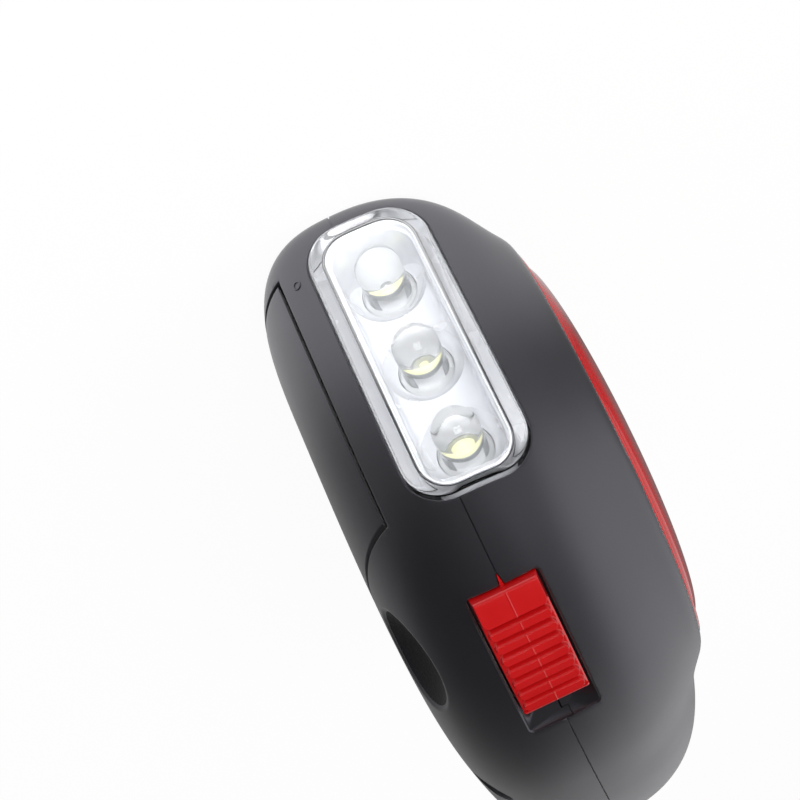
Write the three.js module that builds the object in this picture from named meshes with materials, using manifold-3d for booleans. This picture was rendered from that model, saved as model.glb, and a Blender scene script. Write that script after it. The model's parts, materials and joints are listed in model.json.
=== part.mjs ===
import * as THREE from 'three';
import * as BufferGeometryUtils from 'three/addons/utils/BufferGeometryUtils.js';
import Module from 'manifold-3d';

const wasm = await Module();
wasm.setup();

// A hand-cranked flashlight in millimetres. The lamp looks along -Y and +Z is up. The origin lies on
// the flat belly, x = 0 is the plane through the three lamps, and the crank is on the -X side.

// Body outline, seen from the side
const halfLength = 54;
const height = 57.2;
const noseHeight = 14;
const noseArch = 42.2;
const noseUndercut = 19.6;
const tailHeight = 20.5;
const heelLength = 24;
const bellyTrim = 1.5;
const crownPower = 2.77;
const backPower = 2.2;
const heelPower = 2.6;
const chinPower = 6.5;

// Body width, measured from the plane where the two half shells meet
const seamX = 2.4;
const leftBulge = 13.8;
const leftEdgePower = 5.6;
const leftFlankPower = 2.64;
const leftBulgeY = 0;
const rightBulge = 17.2;
const rightEdgePower = 4.5;
const rightFlankPower = 2.3;
const rightBulgeSetback = 34;
const bulgeZ = 24.5;
const wall = 2;
const seamGap = 0.3;

// Running gaps and cutting allowance
const snugGap = 0.15;
const seatGap = 0.3;
const runningGap = 0.06;
const overrun = 8;
const mergeDistance = 0.004;
const weldDistance = 1e-4;

// Lens over the three lamps
const lensWidth = 13.2;
const lensMargin = 11.5;
const lensBottom = 3.1;
const lensCorner = 4.2;
const lensProud = 0.9;
const lensWall = 1;
const lensSideWall = 1.8;
const lensDepth = 6.4;
const collarWall = 1.2;

// Lamps, reflector and lamp board
const lampPitch = 10.5;
const lampDrop = 1.7;
const lampRadius = 2.5;
const lampRim = 0.4;
const lampFlange = 1;
const lampLength = 8.6;
const lampSetback = 2.25;
const reflectorSetback = 0.45;
const reflectorWall = 0.3;
const reflectorFloor = 0.9;
const lampBoardThickness = 1.2;
const lampBoardGap = 0.2;
const boardRibWidth = 6;
const boardRibDepth = 3.2;

// Battery bay in the left flank, and its cover
const coverInnerX = 10.3;
const coverBottom = 4.4;
const coverTop = 34.5;
const coverLength = 48;
const coverCorner = 4;
const coverGap = 0.35;
const ledgeThickness = 1.3;
const ledgeMargin = 1.4;
const cellRadius = 10;
const cellThickness = 3.2;
const cellBayGap = 3.5;
const cellZ = 19.5;
const cellGap = 0.12;
const cupWall = 1;
const cupFloor = 1;
const contactThickness = 0.4;
const contactSpringRise = 0.9;
const contactWidth = 4;
const coverPadRadius = 8;

// Thumb scoop above the cover
const scoopSetback = 17.5;
const scoopDrop = 13.9;
const scoopRadius = 6.4;
const scoopDepth = 2.4;
const scoopWall = 1.4;

// Slide switch on the seam
const switchWidth = 7.1;
const switchLength = 14;
const switchFrontShare = 0.7037;
const switchBackShare = 0.9074;
const switchTravel = 3;
const switchSink = 1.5;
const switchRise = 0.9;
const ribPitch = 1.7;
const ribDepth = 0.5;
const ribFlankShare = 0.55;
const thumbPadLength = 2.8;
const switchPadThickness = 1.4;
const stemWidth = 2.4;
const stemLength = 3;
const stemDepth = 2.6;
const switchBodyWidth = 8.4;
const switchBodyLength = 11;
const switchBodyDepth = 4.4;
const stemPocketDepth = 2;

// Crank disc, its trim ring and its well in the right shell
const crankSetback = 30.1;
const crankZ = 24.6;
const ringRadius = 24.1;
const ringWidth = 1.5;
const ringThickness = 2;
const rimX = -14.5;
const domeRise = 2.5;
const domePower = 2.4;
const discGap = 0.4;
const discSeatGap = 0.1;
const bossFlare = 2.2;
const bossWall = 0.9;
const drumRadius = 17.3;
const wellWall = 1.1;
const wellFloorX = -6.7;
const axleRadius = 2;
const bushRadius = 3.2;

// Folding handle in the crank disc
const handleWidth = 8.4;
const handleThickness = 2.4;
const handleProud = 2.1;
const hingeReach = 15;
const knobReach = 10.4;
const hingeProud = 0.5;
const hingePinRadius = 0.8;
const barrelRadius = 1.4;
const barrelWidth = 4.4;
const lugWidth = 1.9;
const neckLength = 2.3;
const handleGap = 0.4;
const knobRadius = 4.2;
const knobLength = 5.4;
const knobPinRadius = 1.1;
const knobPinHeadRadius = 1.9;
const knobPinHead = 0.9;
const knobWaist = 0.5;
const knobSwing = 1.2;

// Gear train
const pressureAngle = 25;
const addendumShare = 0.85;
const dedendumShare = 1.1;
const backlash = 0.14;
const driveModule = 0.8;
const driveTeeth = 40;
const firstModule = 0.6;
const firstTeeth = 36;
const secondModule = 0.5;
const secondTeeth = 32;
const pinionTeeth = 10;
const driveThickness = 1.6;
const firstThickness = 1.2;
const secondThickness = 1.1;
const gearGap = 0.3;
const gearPinRadius = 0.9;
const pinBossRadius = 2;
const firstBearing = -11.5;
const secondBearing = 60;
const generatorBearing = -35;
const plateThickness = 1;
const plateEdge = 3.2;
const upperScrewReach = 15.8;
const upperScrewBearing = 103;
const lowerScrewReach = 16;
const lowerScrewBearing = -42;
const rearScrewBearing = 8;
const clipRadius = 3.4;
const clipThickness = 0.5;

// Generator
const canRadius = 11;
const canLength = 10;
const canWall = 0.8;
const coilInnerRadius = 6.2;
const coilLength = 7;
const magnetRadius = 4.4;
const magnetInset = 0.2;
const shaftRadius = 1;
const canSeatRadius = 7;

// Circuit board
const boardThickness = 1.2;
const boardWidth = 12.4;
const boardHeight = 26;
const boardX = 3.6;
const boardGap = 1.5;
const boardBottom = 8.5;
const boardHoleInset = 3.4;
const capacitorRadius = 1.7;
const capacitorLength = 10;
const chipSize = 4.4;
const chipHeight = 1.2;

// Screws
const caseBossRadius = 2.9;
const screwShankRadius = 1.05;
const screwHeadRadius = 2;
const screwHead = 1.5;
const screwLength = 9;
const screwSinkX = 9.2;
const rearScrewSetback = 15.5;
const rearScrewDrop = 17.2;
const crossWidth = 0.5;
const crossDepth = 0.7;
const crossShare = 0.6;
const smallHeadRadius = 1.6;
const smallHead = 1;
const smallLength = 4.2;
const smallShankRadius = 0.8;

// Facet counts
const profileSteps = 12;
const widthSteps = 8;
const innerProfileSteps = 7;
const innerWidthSteps = 5;
const roundSides = 32;
const mediumSides = 18;
const smallSides = 12;
const tinySides = 8;
const cornerSteps = 3;
const domeSteps = 6;

// Places worked out from the sizes above
const crownY = noseArch - halfLength;
const heelY = halfLength - heelLength;
const chinY = noseUndercut - halfLength;
const rightBulgeY = rightBulgeSetback - halfLength;
const coverBack = coverLength - halfLength;
const scoopY = scoopSetback - halfLength;
const scoopZ = height - scoopDrop;
const switchFrontZ = noseHeight + switchFrontShare * (height - noseHeight);
const switchBackZ = noseHeight + switchBackShare * (height - noseHeight);
const crankY = crankSetback - halfLength;
const lensHeight = 2 * lampPitch + lensMargin;
const lampMiddleZ = lensBottom + lensHeight / 2 - lampDrop;
const lampFlangeRadius = lampRadius + lampRim;
const lampBoardWidth = lensWidth - 2 * (lensSideWall + lampBoardGap);
const crankRotorRadius = ringRadius - ringWidth - discGap;
const discThickness = ringThickness - discSeatGap;
const drumEndX = wellFloorX - discGap;
const handleOuterX = rimX - handleProud;
const hingeX = handleOuterX - hingeProud;
const magnetLength = coilLength - 2 * magnetInset;
const wellRadius = drumRadius + seatGap;
const driveEndX = wellFloorX + wellWall + gearGap;
const driveStartX = driveEndX + driveThickness;
const firstStartX = driveStartX + gearGap + firstThickness;
const secondStartX = firstStartX + gearGap + secondThickness;
const plateX = secondStartX + gearGap;
const canX = plateX + plateThickness + gearGap;
const hingeY = crankY + hingeReach;
const knobY = crankY - knobReach;

// Solids and meshes

function toSolid(geometry) {
  const plain = geometry.index ? geometry.toNonIndexed() : geometry.clone();
  plain.deleteAttribute('normal');
  plain.deleteAttribute('uv');
  const merged = BufferGeometryUtils.mergeVertices(plain, weldDistance);
  const position = merged.getAttribute('position');
  const vertices = new Float32Array(position.array);
  const triangles = new Uint32Array(merged.getIndex().array);
  const mesh = new wasm.Mesh({ numProp: 3, vertProperties: vertices, triVerts: triangles });
  return new wasm.Manifold(mesh);
}

function toGeometry(solid) {
  const mesh = solid.getMesh();
  const geometry = new THREE.BufferGeometry();
  const places = [];
  for (let i = 0; i < mesh.vertProperties.length; i += mesh.numProp) {
    places.push(mesh.vertProperties[i], mesh.vertProperties[i + 1], mesh.vertProperties[i + 2]);
  }
  geometry.setAttribute('position', new THREE.Float32BufferAttribute(places, 3));
  geometry.setIndex(Array.from(mesh.triVerts));
  return withoutSlivers(geometry);
}

// Draws together the corners that lie closer than mergeDistance and drops the faces that this closes up
function withoutSlivers(geometry) {
  const merged = BufferGeometryUtils.mergeVertices(geometry, mergeDistance);
  const index = merged.getIndex().array;
  const kept = [];
  for (let i = 0; i < index.length; i += 3) {
    const [a, b, c] = [index[i], index[i + 1], index[i + 2]];
    if (a !== b && b !== c && c !== a) {
      kept.push(a, b, c);
    }
  }
  merged.setIndex(kept);
  merged.computeVertexNormals();
  return merged;
}

function join(first, ...others) {
  return others.reduce((whole, piece) => whole.add(piece), first);
}

function cut(first, ...tools) {
  return tools.reduce((whole, tool) => whole.subtract(tool), first);
}

// An outline in two coordinates, pulled along the third: x takes (y, z), y takes (x, z), z takes (x, y)
function prism(axis, outline, from, to) {
  const swapped = axis === 'y';
  const shape = new THREE.Shape(outline.map(([a, b]) => new THREE.Vector2(swapped ? b : a, swapped ? a : b)));
  const geometry = new THREE.ExtrudeGeometry(shape, { depth: to - from, bevelEnabled: false });
  geometry.translate(0, 0, from);
  const turns = {
    x: [0, 0, 1, 0, 1, 0, 0, 0, 0, 1, 0, 0, 0, 0, 0, 1],
    y: [0, 1, 0, 0, 0, 0, 1, 0, 1, 0, 0, 0, 0, 0, 0, 1],
    z: [1, 0, 0, 0, 0, 1, 0, 0, 0, 0, 1, 0, 0, 0, 0, 1],
  };
  geometry.applyMatrix4(new THREE.Matrix4().set(...turns[axis]));
  return toSolid(geometry);
}

function box(x0, x1, y0, y1, z0, z1) {
  const geometry = new THREE.BoxGeometry(x1 - x0, y1 - y0, z1 - z0);
  geometry.translate((x0 + x1) / 2, (y0 + y1) / 2, (z0 + z1) / 2);
  return toSolid(geometry);
}

// A turned shape: the profile holds [radius, distance along the axis], closed on the axis at both ends
function turned(axis, centre, profile, sides) {
  const points = profile.map(([radius, along]) => new THREE.Vector2(radius, along));
  const geometry = new THREE.LatheGeometry(points, sides);
  if (axis === 'x') {
    geometry.rotateZ(-Math.PI / 2);
    geometry.translate(0, centre[0], centre[1]);
  }
  if (axis === 'y') {
    geometry.translate(centre[0], 0, centre[1]);
  }
  if (axis === 'z') {
    geometry.rotateX(Math.PI / 2);
    geometry.translate(centre[0], centre[1], 0);
  }
  return toSolid(geometry);
}

function rod(axis, centre, radius, from, to, sides) {
  return turned(axis, centre, [[0, from], [radius, from], [radius, to], [0, to]], sides);
}

function roundedRectangle(low, high, corner, steps) {
  const radius = Math.min(corner, (high[0] - low[0]) / 2, (high[1] - low[1]) / 2);
  const centres = [
    [high[0] - radius, high[1] - radius, 0],
    [low[0] + radius, high[1] - radius, Math.PI / 2],
    [low[0] + radius, low[1] + radius, Math.PI],
    [high[0] - radius, low[1] + radius, (3 * Math.PI) / 2],
  ];
  const points = [];
  for (const [a, b, start] of centres) {
    for (let i = 0; i <= steps; i += 1) {
      const angle = start + ((Math.PI / 2) * i) / steps;
      points.push([a + radius * Math.cos(angle), b + radius * Math.sin(angle)]);
    }
  }
  return points;
}

// The rounded outline around a few discs, each given as [a, b, radius]
function outlineAround(discs, sides) {
  const cloud = [];
  for (const [a, b, radius] of discs) {
    for (let i = 0; i < sides; i += 1) {
      const angle = (2 * Math.PI * i) / sides;
      cloud.push([a + radius * Math.cos(angle), b + radius * Math.sin(angle)]);
    }
  }
  cloud.sort((p, q) => p[0] - q[0] || p[1] - q[1]);
  const turn = (o, p, q) => (p[0] - o[0]) * (q[1] - o[1]) - (p[1] - o[1]) * (q[0] - o[0]);
  const chain = (points) => {
    const kept = [];
    for (const point of points) {
      while (kept.length > 1 && turn(kept[kept.length - 2], kept[kept.length - 1], point) <= 0) {
        kept.pop();
      }
      kept.push(point);
    }
    kept.pop();
    return kept;
  };
  return [...chain(cloud), ...chain([...cloud].reverse())];
}

// Body surface

// The side outline as four superellipse quarters, drawn in by inset; points are [y, z]
function sideOutline(inset, steps) {
  const foot = inset > 0 ? inset + bellyTrim : 0;
  const quarters = [
    [chinY, noseHeight, -(noseUndercut - inset), -(noseHeight + bellyTrim - foot), chinPower, false],
    [crownY, noseHeight, -(noseArch - inset), height - noseHeight - inset, crownPower, true],
    [crownY, tailHeight, halfLength - crownY - inset, height - tailHeight - inset, backPower, false],
    [heelY, tailHeight, heelLength - inset, -(tailHeight + bellyTrim - foot), heelPower, true],
  ];
  const points = [];
  for (const [y, z, reach, rise, power, fromSide] of quarters) {
    for (let i = 0; i < steps; i += 1) {
      const share = i / steps;
      const angle = (Math.PI / 2) * (fromSide ? share : 1 - share);
      const along = Math.pow(Math.cos(angle), 2 / power);
      const up = Math.pow(Math.sin(angle), 2 / power);
      points.push([y + reach * along, z + rise * up]);
    }
  }
  return points;
}

// One side of the body: the outline shrinks towards its centre as the surface swells away from the seam
function halfBody(side, inset, steps, layers) {
  const outline = sideOutline(inset, steps);
  const bulge = (side > 0 ? leftBulge : rightBulge) - inset;
  const edgePower = side > 0 ? leftEdgePower : rightEdgePower;
  const flankPower = side > 0 ? leftFlankPower : rightFlankPower;
  const centreY = side > 0 ? leftBulgeY : rightBulgeY;
  const count = outline.length;
  const places = [seamX, centreY, bulgeZ];
  for (let layer = 0; layer < layers; layer += 1) {
    const angle = ((Math.PI / 2) * layer) / layers;
    const share = Math.pow(Math.cos(angle), 2 / edgePower);
    const x = seamX + side * bulge * Math.pow(Math.sin(angle), 2 / flankPower);
    for (const [y, z] of outline) {
      places.push(x, centreY + share * (y - centreY), bulgeZ + share * (z - bulgeZ));
    }
  }
  places.push(seamX + side * bulge, centreY, bulgeZ);
  const peak = places.length / 3 - 1;
  const triangles = [];
  const face = (a, b, c) => (side > 0 ? triangles.push(a, b, c) : triangles.push(a, c, b));
  for (let i = 0; i < count; i += 1) {
    const next = (i + 1) % count;
    face(0, 1 + next, 1 + i);
    for (let layer = 0; layer < layers - 1; layer += 1) {
      const near = 1 + layer * count;
      const far = near + count;
      face(near + i, near + next, far + next);
      face(near + i, far + next, far + i);
    }
    const last = 1 + (layers - 1) * count;
    face(last + i, last + next, peak);
  }
  const geometry = new THREE.BufferGeometry();
  geometry.setAttribute('position', new THREE.Float32BufferAttribute(places, 3));
  geometry.setIndex(triangles);
  const solid = toSolid(geometry);
  return solid.volume() > 0 ? solid : toSolid(flipped(geometry));
}

function flipped(geometry) {
  const index = Array.from(geometry.getIndex().array);
  for (let i = 0; i < index.length; i += 3) {
    [index[i + 1], index[i + 2]] = [index[i + 2], index[i + 1]];
  }
  const turnedOver = geometry.clone();
  turnedOver.setIndex(index);
  return turnedOver;
}

// Height of the crown line above the nose arch at a given height, as y on the seam
function noseY(z) {
  const share = (z - noseHeight) / (height - noseHeight);
  return -halfLength + noseArch * (1 - Math.pow(1 - Math.pow(Math.abs(share), crownPower), 1 / crownPower));
}

const farLeft = 4 * leftBulge;
const farRight = -4 * rightBulge;
const farAlong = 2 * halfLength;
const farUp = 2 * height;
const aboveBelly = box(farRight, farLeft, -farAlong, farAlong, 0, farUp);
const outerLeft = halfBody(1, 0, profileSteps, widthSteps).intersect(aboveBelly);
const outerRight = halfBody(-1, 0, profileSteps, widthSteps).intersect(aboveBelly);
const innerLeft = halfBody(1, wall, innerProfileSteps, innerWidthSteps);
const innerRight = halfBody(-1, wall, innerProfileSteps, innerWidthSteps);
const outerBody = outerLeft.add(outerRight);
const leftSpace = box(seamX + seamGap / 2, farLeft, -farAlong, farAlong, 0, farUp);
const rightSpace = box(farRight, seamX - seamGap / 2, -farAlong, farAlong, 0, farUp);

// Lens and lamps

function lensOutline(grow) {
  const half = lensWidth / 2 + grow;
  const low = [-half, lensBottom - grow];
  const high = [half, lensBottom + lensHeight + grow];
  return roundedRectangle(low, high, lensCorner + grow, cornerSteps);
}

// The outline of the room inside the lens
function lensInside(grow) {
  const half = lensWidth / 2 - lensSideWall + grow;
  const low = [-half, lensBottom + lensWall - grow];
  const high = [half, lensBottom + lensHeight - lensWall + grow];
  return roundedRectangle(low, high, lensCorner - lensWall + grow, cornerSteps);
}

const lensBackY = lensDepth - halfLength;
const noseFront = -halfLength - overrun;

function makeLens() {
  const front = outerBody.translate(0, -lensProud, 0);
  const under = outerBody.translate(0, lensWall - lensProud, 0);
  const block = prism('y', lensOutline(0), noseFront, lensBackY).intersect(front);
  const hollow = prism('y', lensInside(0), noseFront, lensBackY + overrun).intersect(under);
  const open = prism('y', lensInside(0), lensBackY - lensWall, lensBackY + overrun);
  return cut(block, hollow, open);
}

const lampBackY = -halfLength + lampSetback + lampLength;
const lampBoardY = lampBackY + snugGap;
const lampPlaces = [-1, 0, 1].map((step) => lampMiddleZ + step * lampPitch);

// An open tray round the lamps, with a hole in its floor for each flange
function makeReflector() {
  const setback = lensWall - lensProud + reflectorSetback;
  const block = prism('y', lensInside(-snugGap), noseFront, lampBackY);
  const inside = lensInside(-snugGap - reflectorWall);
  const hollow = prism('y', inside, noseFront, lampBackY - reflectorFloor);
  let tray = block.intersect(outerBody.translate(0, setback, 0)).subtract(hollow);
  const start = lampBackY - lampFlange - snugGap;
  const holeRadius = lampFlangeRadius + snugGap;
  for (const z of lampPlaces) {
    tray = tray.subtract(rod('y', [0, z], holeRadius, start, lampBackY + overrun, mediumSides));
  }
  return tray;
}

function makeLamp(z) {
  const steps = 4;
  const tip = lampBackY - lampLength;
  const profile = [];
  for (let i = 0; i <= steps; i += 1) {
    const angle = ((Math.PI / 2) * i) / steps;
    profile.push([lampRadius * Math.sin(angle), tip + lampRadius * (1 - Math.cos(angle))]);
  }
  profile.push([lampRadius, lampBackY - lampFlange]);
  profile.push([lampFlangeRadius, lampBackY - lampFlange]);
  profile.push([lampFlangeRadius, lampBackY]);
  profile.push([0, lampBackY]);
  profile[0][0] = 0;
  return turned('y', [0, z], profile, smallSides);
}

function makeLampBoard() {
  const half = lampBoardWidth / 2;
  const low = [-half, lensBottom + lensWall];
  const high = [half, lensBottom + lensHeight - lensWall];
  return prism('y', roundedRectangle(low, high, lensWall, 1), lampBoardY, lampBoardY + lampBoardThickness);
}

// Battery bay and cover

function coverOutline(grow) {
  const low = [noseFront, coverBottom - grow];
  const high = [coverBack + grow, coverTop + grow];
  return roundedRectangle(low, high, coverCorner + grow, cornerSteps);
}

const ledgeX = coverInnerX - seatGap;
const bayRadius = cellRadius + seatGap;
const cellY = lampBoardY + lampBoardThickness + cellBayGap + bayRadius + cupWall;
const baySeatX = ledgeX - ledgeThickness - seatGap;
const cellTopX = baySeatX - contactThickness;
const cellStackX = cellTopX - 2 * cellThickness - cellGap;
const bayFloorX = cellStackX - contactSpringRise - cellGap;

function makeCover() {
  const skin = outerLeft.intersect(prism('x', coverOutline(-coverGap), coverInnerX, farLeft));
  const padEnd = cellTopX + 2 * contactThickness;
  const pad = rod('x', [cellY, cellZ], coverPadRadius, padEnd, farLeft, mediumSides);
  const foot = rod('x', [cellY, cellZ], coverPadRadius, padEnd, coverInnerX + wall, mediumSides);
  const hollow = innerLeft.intersect(prism('x', coverOutline(-wall), 0, farLeft));
  return skin.subtract(hollow.subtract(pad)).add(foot);
}

function makeCoverContact() {
  const start = cellTopX + cellGap;
  return rod('x', [cellY, cellZ], coverPadRadius - wall, start, start + contactThickness, mediumSides);
}

function makeBayCup() {
  const radius = bayRadius + cupWall;
  const cup = rod('x', [cellY, cellZ], radius, bayFloorX - cupFloor, baySeatX, roundSides);
  const inside = rod('x', [cellY, cellZ], bayRadius, bayFloorX, baySeatX + overrun, roundSides);
  return cup.subtract(inside);
}

function makeCell(index) {
  const start = cellStackX + index * (cellThickness + cellGap);
  const lip = cellThickness / 4;
  const top = cellRadius - 2 * cellGap;
  const profile = [
    [0, start],
    [top, start],
    [cellRadius, start + lip / 2],
    [cellRadius, start + cellThickness - lip],
    [top - lip, start + cellThickness - lip],
    [top - lip, start + cellThickness],
    [0, start + cellThickness],
  ];
  return turned('x', [cellY, cellZ], profile, roundSides);
}

function makeBayContact() {
  const start = bayFloorX + cellGap;
  const half = contactWidth / 2;
  const reach = cellRadius - wall;
  const rise = contactSpringRise - cellGap;
  const leaf = [
    [start, -reach],
    [start + contactThickness, -reach],
    [start + contactThickness, -half],
    [start + rise, half],
    [start + rise, reach],
    [start + rise - contactThickness, reach],
    [start + rise - contactThickness, half],
    [start, -half],
  ];
  const outline = leaf.map(([x, y]) => [x, cellY + y]);
  return prism('z', outline, cellZ - half, cellZ + half);
}

// Slide switch, drawn along the slope between its two ends

const slopeStart = [noseY(switchFrontZ), switchFrontZ];
const slopeEnd = [noseY(switchBackZ), switchBackZ];
const slopeAngle = Math.atan2(slopeEnd[1] - slopeStart[1], slopeEnd[0] - slopeStart[0]);
const slopeReach = Math.hypot(slopeEnd[0] - slopeStart[0], slopeEnd[1] - slopeStart[1]);

// Places a solid drawn with its length along y, its width along x and its top along z
function onSlope(solid) {
  const lifted = solid.rotate([THREE.MathUtils.radToDeg(slopeAngle), 0, 0]);
  return lifted.translate(seamX, slopeStart[0], slopeStart[1]);
}

// How far the crown line stands above the straight slope line, at a distance along it
function slopeBulge(along) {
  let best = 0;
  const samples = 40;
  let nearest = Infinity;
  for (let i = 0; i <= samples; i += 1) {
    const z = switchFrontZ + ((height - bellyTrim - switchFrontZ) * i) / samples;
    const dy = noseY(z) - slopeStart[0];
    const dz = z - slopeStart[1];
    const position = dy * Math.cos(slopeAngle) + dz * Math.sin(slopeAngle);
    const off = Math.abs(position - along);
    if (off < nearest) {
      nearest = off;
      best = -dy * Math.sin(slopeAngle) + dz * Math.cos(slopeAngle);
    }
  }
  return best;
}

const slotLength = switchLength + switchTravel + 2 * snugGap;
const stemY = switchLength / 2 - stemLength / 2;
const slotFloor = -switchSink;

function makeSlider() {
  const points = [[0, slotFloor + snugGap]];
  const top = (along) => slopeBulge(along) + switchRise;
  points.push([0, top(0) - ribDepth]);
  points.push([ribDepth, top(ribDepth)]);
  points.push([thumbPadLength - ribDepth, top(thumbPadLength)]);
  const ribs = Math.floor((switchLength - thumbPadLength - ribDepth) / ribPitch);
  for (let i = 0; i < ribs; i += 1) {
    const start = thumbPadLength + i * ribPitch;
    points.push([start, top(start) - ribDepth]);
    points.push([start + ribPitch * ribFlankShare, top(start + ribPitch)]);
    points.push([start + ribPitch - 2 * snugGap, top(start + ribPitch)]);
  }
  points.push([switchLength, top(switchLength) - ribDepth]);
  points.push([switchLength, slotFloor + snugGap]);
  const half = switchWidth / 2;
  const cap = prism('x', points, -half, half);
  const stem = box(
    -stemWidth / 2, stemWidth / 2,
    stemY, stemY + stemLength,
    slotFloor - stemDepth, slotFloor + 2 * snugGap,
  );
  return onSlope(join(cap, stem));
}

function makeSwitchBody() {
  const top = slotFloor - switchPadThickness - snugGap;
  const half = switchBodyWidth / 2;
  const start = stemY + stemLength / 2 + switchTravel / 2 - switchBodyLength / 2;
  const block = box(-half, half, start, start + switchBodyLength, top - switchBodyDepth, top);
  const pocket = box(
    -stemWidth / 2 - seatGap, stemWidth / 2 + seatGap,
    stemY - seatGap, stemY + stemLength + switchTravel + seatGap,
    top - stemPocketDepth, top + overrun,
  );
  return onSlope(block.subtract(pocket));
}

// The room that both shells leave round the switch body
function switchRoom() {
  const top = slotFloor - switchPadThickness;
  const half = switchBodyWidth / 2 + seatGap;
  const start = stemY + (stemLength + switchTravel - switchBodyLength) / 2 - seatGap;
  const end = start + switchBodyLength + 2 * seatGap;
  return onSlope(box(-half, half, start, end, top - switchBodyDepth - 2 * seatGap, top));
}

function switchPad() {
  const half = switchWidth / 2 + snugGap + wall;
  const block = box(
    -half, half,
    -snugGap - wall, slotLength + wall,
    slotFloor - switchPadThickness, overrun,
  );
  return onSlope(block);
}

function switchSlot() {
  const half = switchWidth / 2 + 2 * snugGap;
  const stemHalf = stemWidth / 2 + 2 * snugGap;
  const recess = box(-half, half, -snugGap, slotLength - snugGap, slotFloor, 2 * overrun);
  const slot = box(
    -stemHalf, stemHalf,
    stemY - seatGap, stemY + stemLength + switchTravel + seatGap,
    slotFloor - 2 * switchPadThickness, overrun,
  );
  return onSlope(join(recess, slot));
}

// Crank disc

const crankCentre = [crankY, crankZ];

function domeProfile() {
  const steps = domeSteps;
  const profile = [];
  for (let i = 0; i <= steps; i += 1) {
    const angle = ((Math.PI / 2) * i) / steps;
    const radius = crankRotorRadius * Math.pow(Math.sin(angle), 2 / domePower);
    const rise = domeRise * Math.pow(Math.cos(angle), 2 / domePower);
    profile.push([i === 0 ? 0 : radius, rimX - (i === steps ? 0 : rise)]);
  }
  return profile;
}

const discBackX = rimX + discThickness;
const handleInnerX = handleOuterX + handleThickness;
const handleFloorX = handleInnerX + seatGap;
const knobEndX = handleInnerX + snugGap + knobLength;
const knobWellX = knobEndX + seatGap;

function handleOutline(grow) {
  const half = handleWidth / 2 + grow;
  const tip = [];
  const steps = 8;
  for (let i = 0; i <= steps; i += 1) {
    const angle = Math.PI / 2 + (Math.PI * i) / steps;
    tip.push([knobY + half * Math.cos(angle), crankZ + half * Math.sin(angle)]);
  }
  const rootY = hingeY - neckLength + grow;
  return [[rootY, crankZ - half], [rootY, crankZ + half], ...tip];
}

function makeRotor() {
  const outline = [
    ...domeProfile(),
    [crankRotorRadius, discBackX],
    [drumRadius, discBackX],
    [drumRadius, drumEndX],
    [0, drumEndX],
  ];
  const disc = turned('x', crankCentre, outline, roundSides);
  const recess = prism('x', handleOutline(handleGap), rimX - overrun, handleFloorX);
  const wellDiscs = [0, knobSwing].map((shift) => [knobY - shift, crankZ, knobRadius + handleGap]);
  const well = prism('x', outlineAround(wellDiscs, mediumSides), rimX - overrun, knobWellX);
  const notchHalf = barrelWidth / 2 + handleGap;
  const notchReach = barrelRadius + handleGap;
  const notch = box(
    rimX - overrun, hingeX + notchReach,
    hingeY - neckLength - handleGap, hingeY + notchReach,
    crankZ - notchHalf, crankZ + notchHalf,
  );
  const neckRoom = box(
    rimX - overrun, handleFloorX,
    hingeY - neckLength - handleGap, hingeY,
    crankZ - notchHalf, crankZ + notchHalf,
  );
  const boreRadius = axleRadius + runningGap;
  const bore = rod('x', crankCentre, boreRadius, handleFloorX + wall, drumEndX + overrun, mediumSides);
  let rotor = cut(disc, recess, well, notch, neckRoom, bore);
  for (const side of [-1, 1]) {
    const middle = crankZ + side * (notchHalf + lugWidth / 2);
    const low = middle - lugWidth / 2;
    const high = middle + lugWidth / 2;
    const round = rod('z', [hingeX, hingeY], barrelRadius, low, high, smallSides);
    const foot = box(
      hingeX, rimX + discThickness / 2,
      hingeY - barrelRadius, hingeY + barrelRadius,
      low, high,
    );
    rotor = join(rotor, round, foot);
  }
  const pinHole = hingePinRadius + runningGap;
  const pinReach = notchHalf + lugWidth + overrun;
  const pinBore = rod('z', [hingeX, hingeY], pinHole, crankZ - pinReach, crankZ + pinReach, smallSides);
  return rotor.subtract(pinBore);
}

function makeHandle() {
  const plate = prism('x', handleOutline(0), handleOuterX, handleInnerX);
  const half = barrelWidth / 2;
  const barrel = rod('z', [hingeX, hingeY], barrelRadius, crankZ - half, crankZ + half, smallSides);
  const neckX = hingeX + barrelRadius;
  const neck = box(
    handleOuterX, Math.max(neckX, handleOuterX + handleThickness / 2),
    hingeY - neckLength - wall, hingeY,
    crankZ - half, crankZ + half,
  );
  const pinHole = rod(
    'z', [hingeX, hingeY], hingePinRadius + runningGap,
    crankZ - handleWidth, crankZ + handleWidth, smallSides,
  );
  const knobAxis = [knobY, crankZ];
  const holeRadius = knobPinRadius + runningGap;
  const knobHole = rod('x', knobAxis, holeRadius, handleOuterX - overrun, overrun, smallSides);
  const headSeat = rod(
    'x', knobAxis, knobPinHeadRadius + snugGap,
    handleOuterX - overrun, handleOuterX + knobPinHead + snugGap, mediumSides,
  );
  return cut(join(plate, barrel, neck), pinHole, knobHole, headSeat);
}

function makeHandlePin() {
  const reach = barrelWidth / 2 + handleGap + lugWidth - snugGap;
  return rod('z', [hingeX, hingeY], hingePinRadius, crankZ - reach, crankZ + reach, tinySides);
}

function makeKnob() {
  const start = handleInnerX + snugGap;
  const edge = knobWaist;
  const outline = [
    [0, start],
    [knobRadius, start],
    [knobRadius, start + edge],
    [knobRadius - knobWaist, start + 2 * edge],
    [knobRadius - knobWaist, knobEndX - 2 * edge],
    [knobRadius, knobEndX - edge],
    [knobRadius - edge, knobEndX],
    [0, knobEndX],
  ];
  const body = turned('x', [knobY, crankZ], outline, mediumSides);
  const boreRadius = knobPinRadius + runningGap;
  const bore = rod('x', [knobY, crankZ], boreRadius, start - overrun, knobEndX - edge, smallSides);
  return body.subtract(bore);
}

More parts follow.
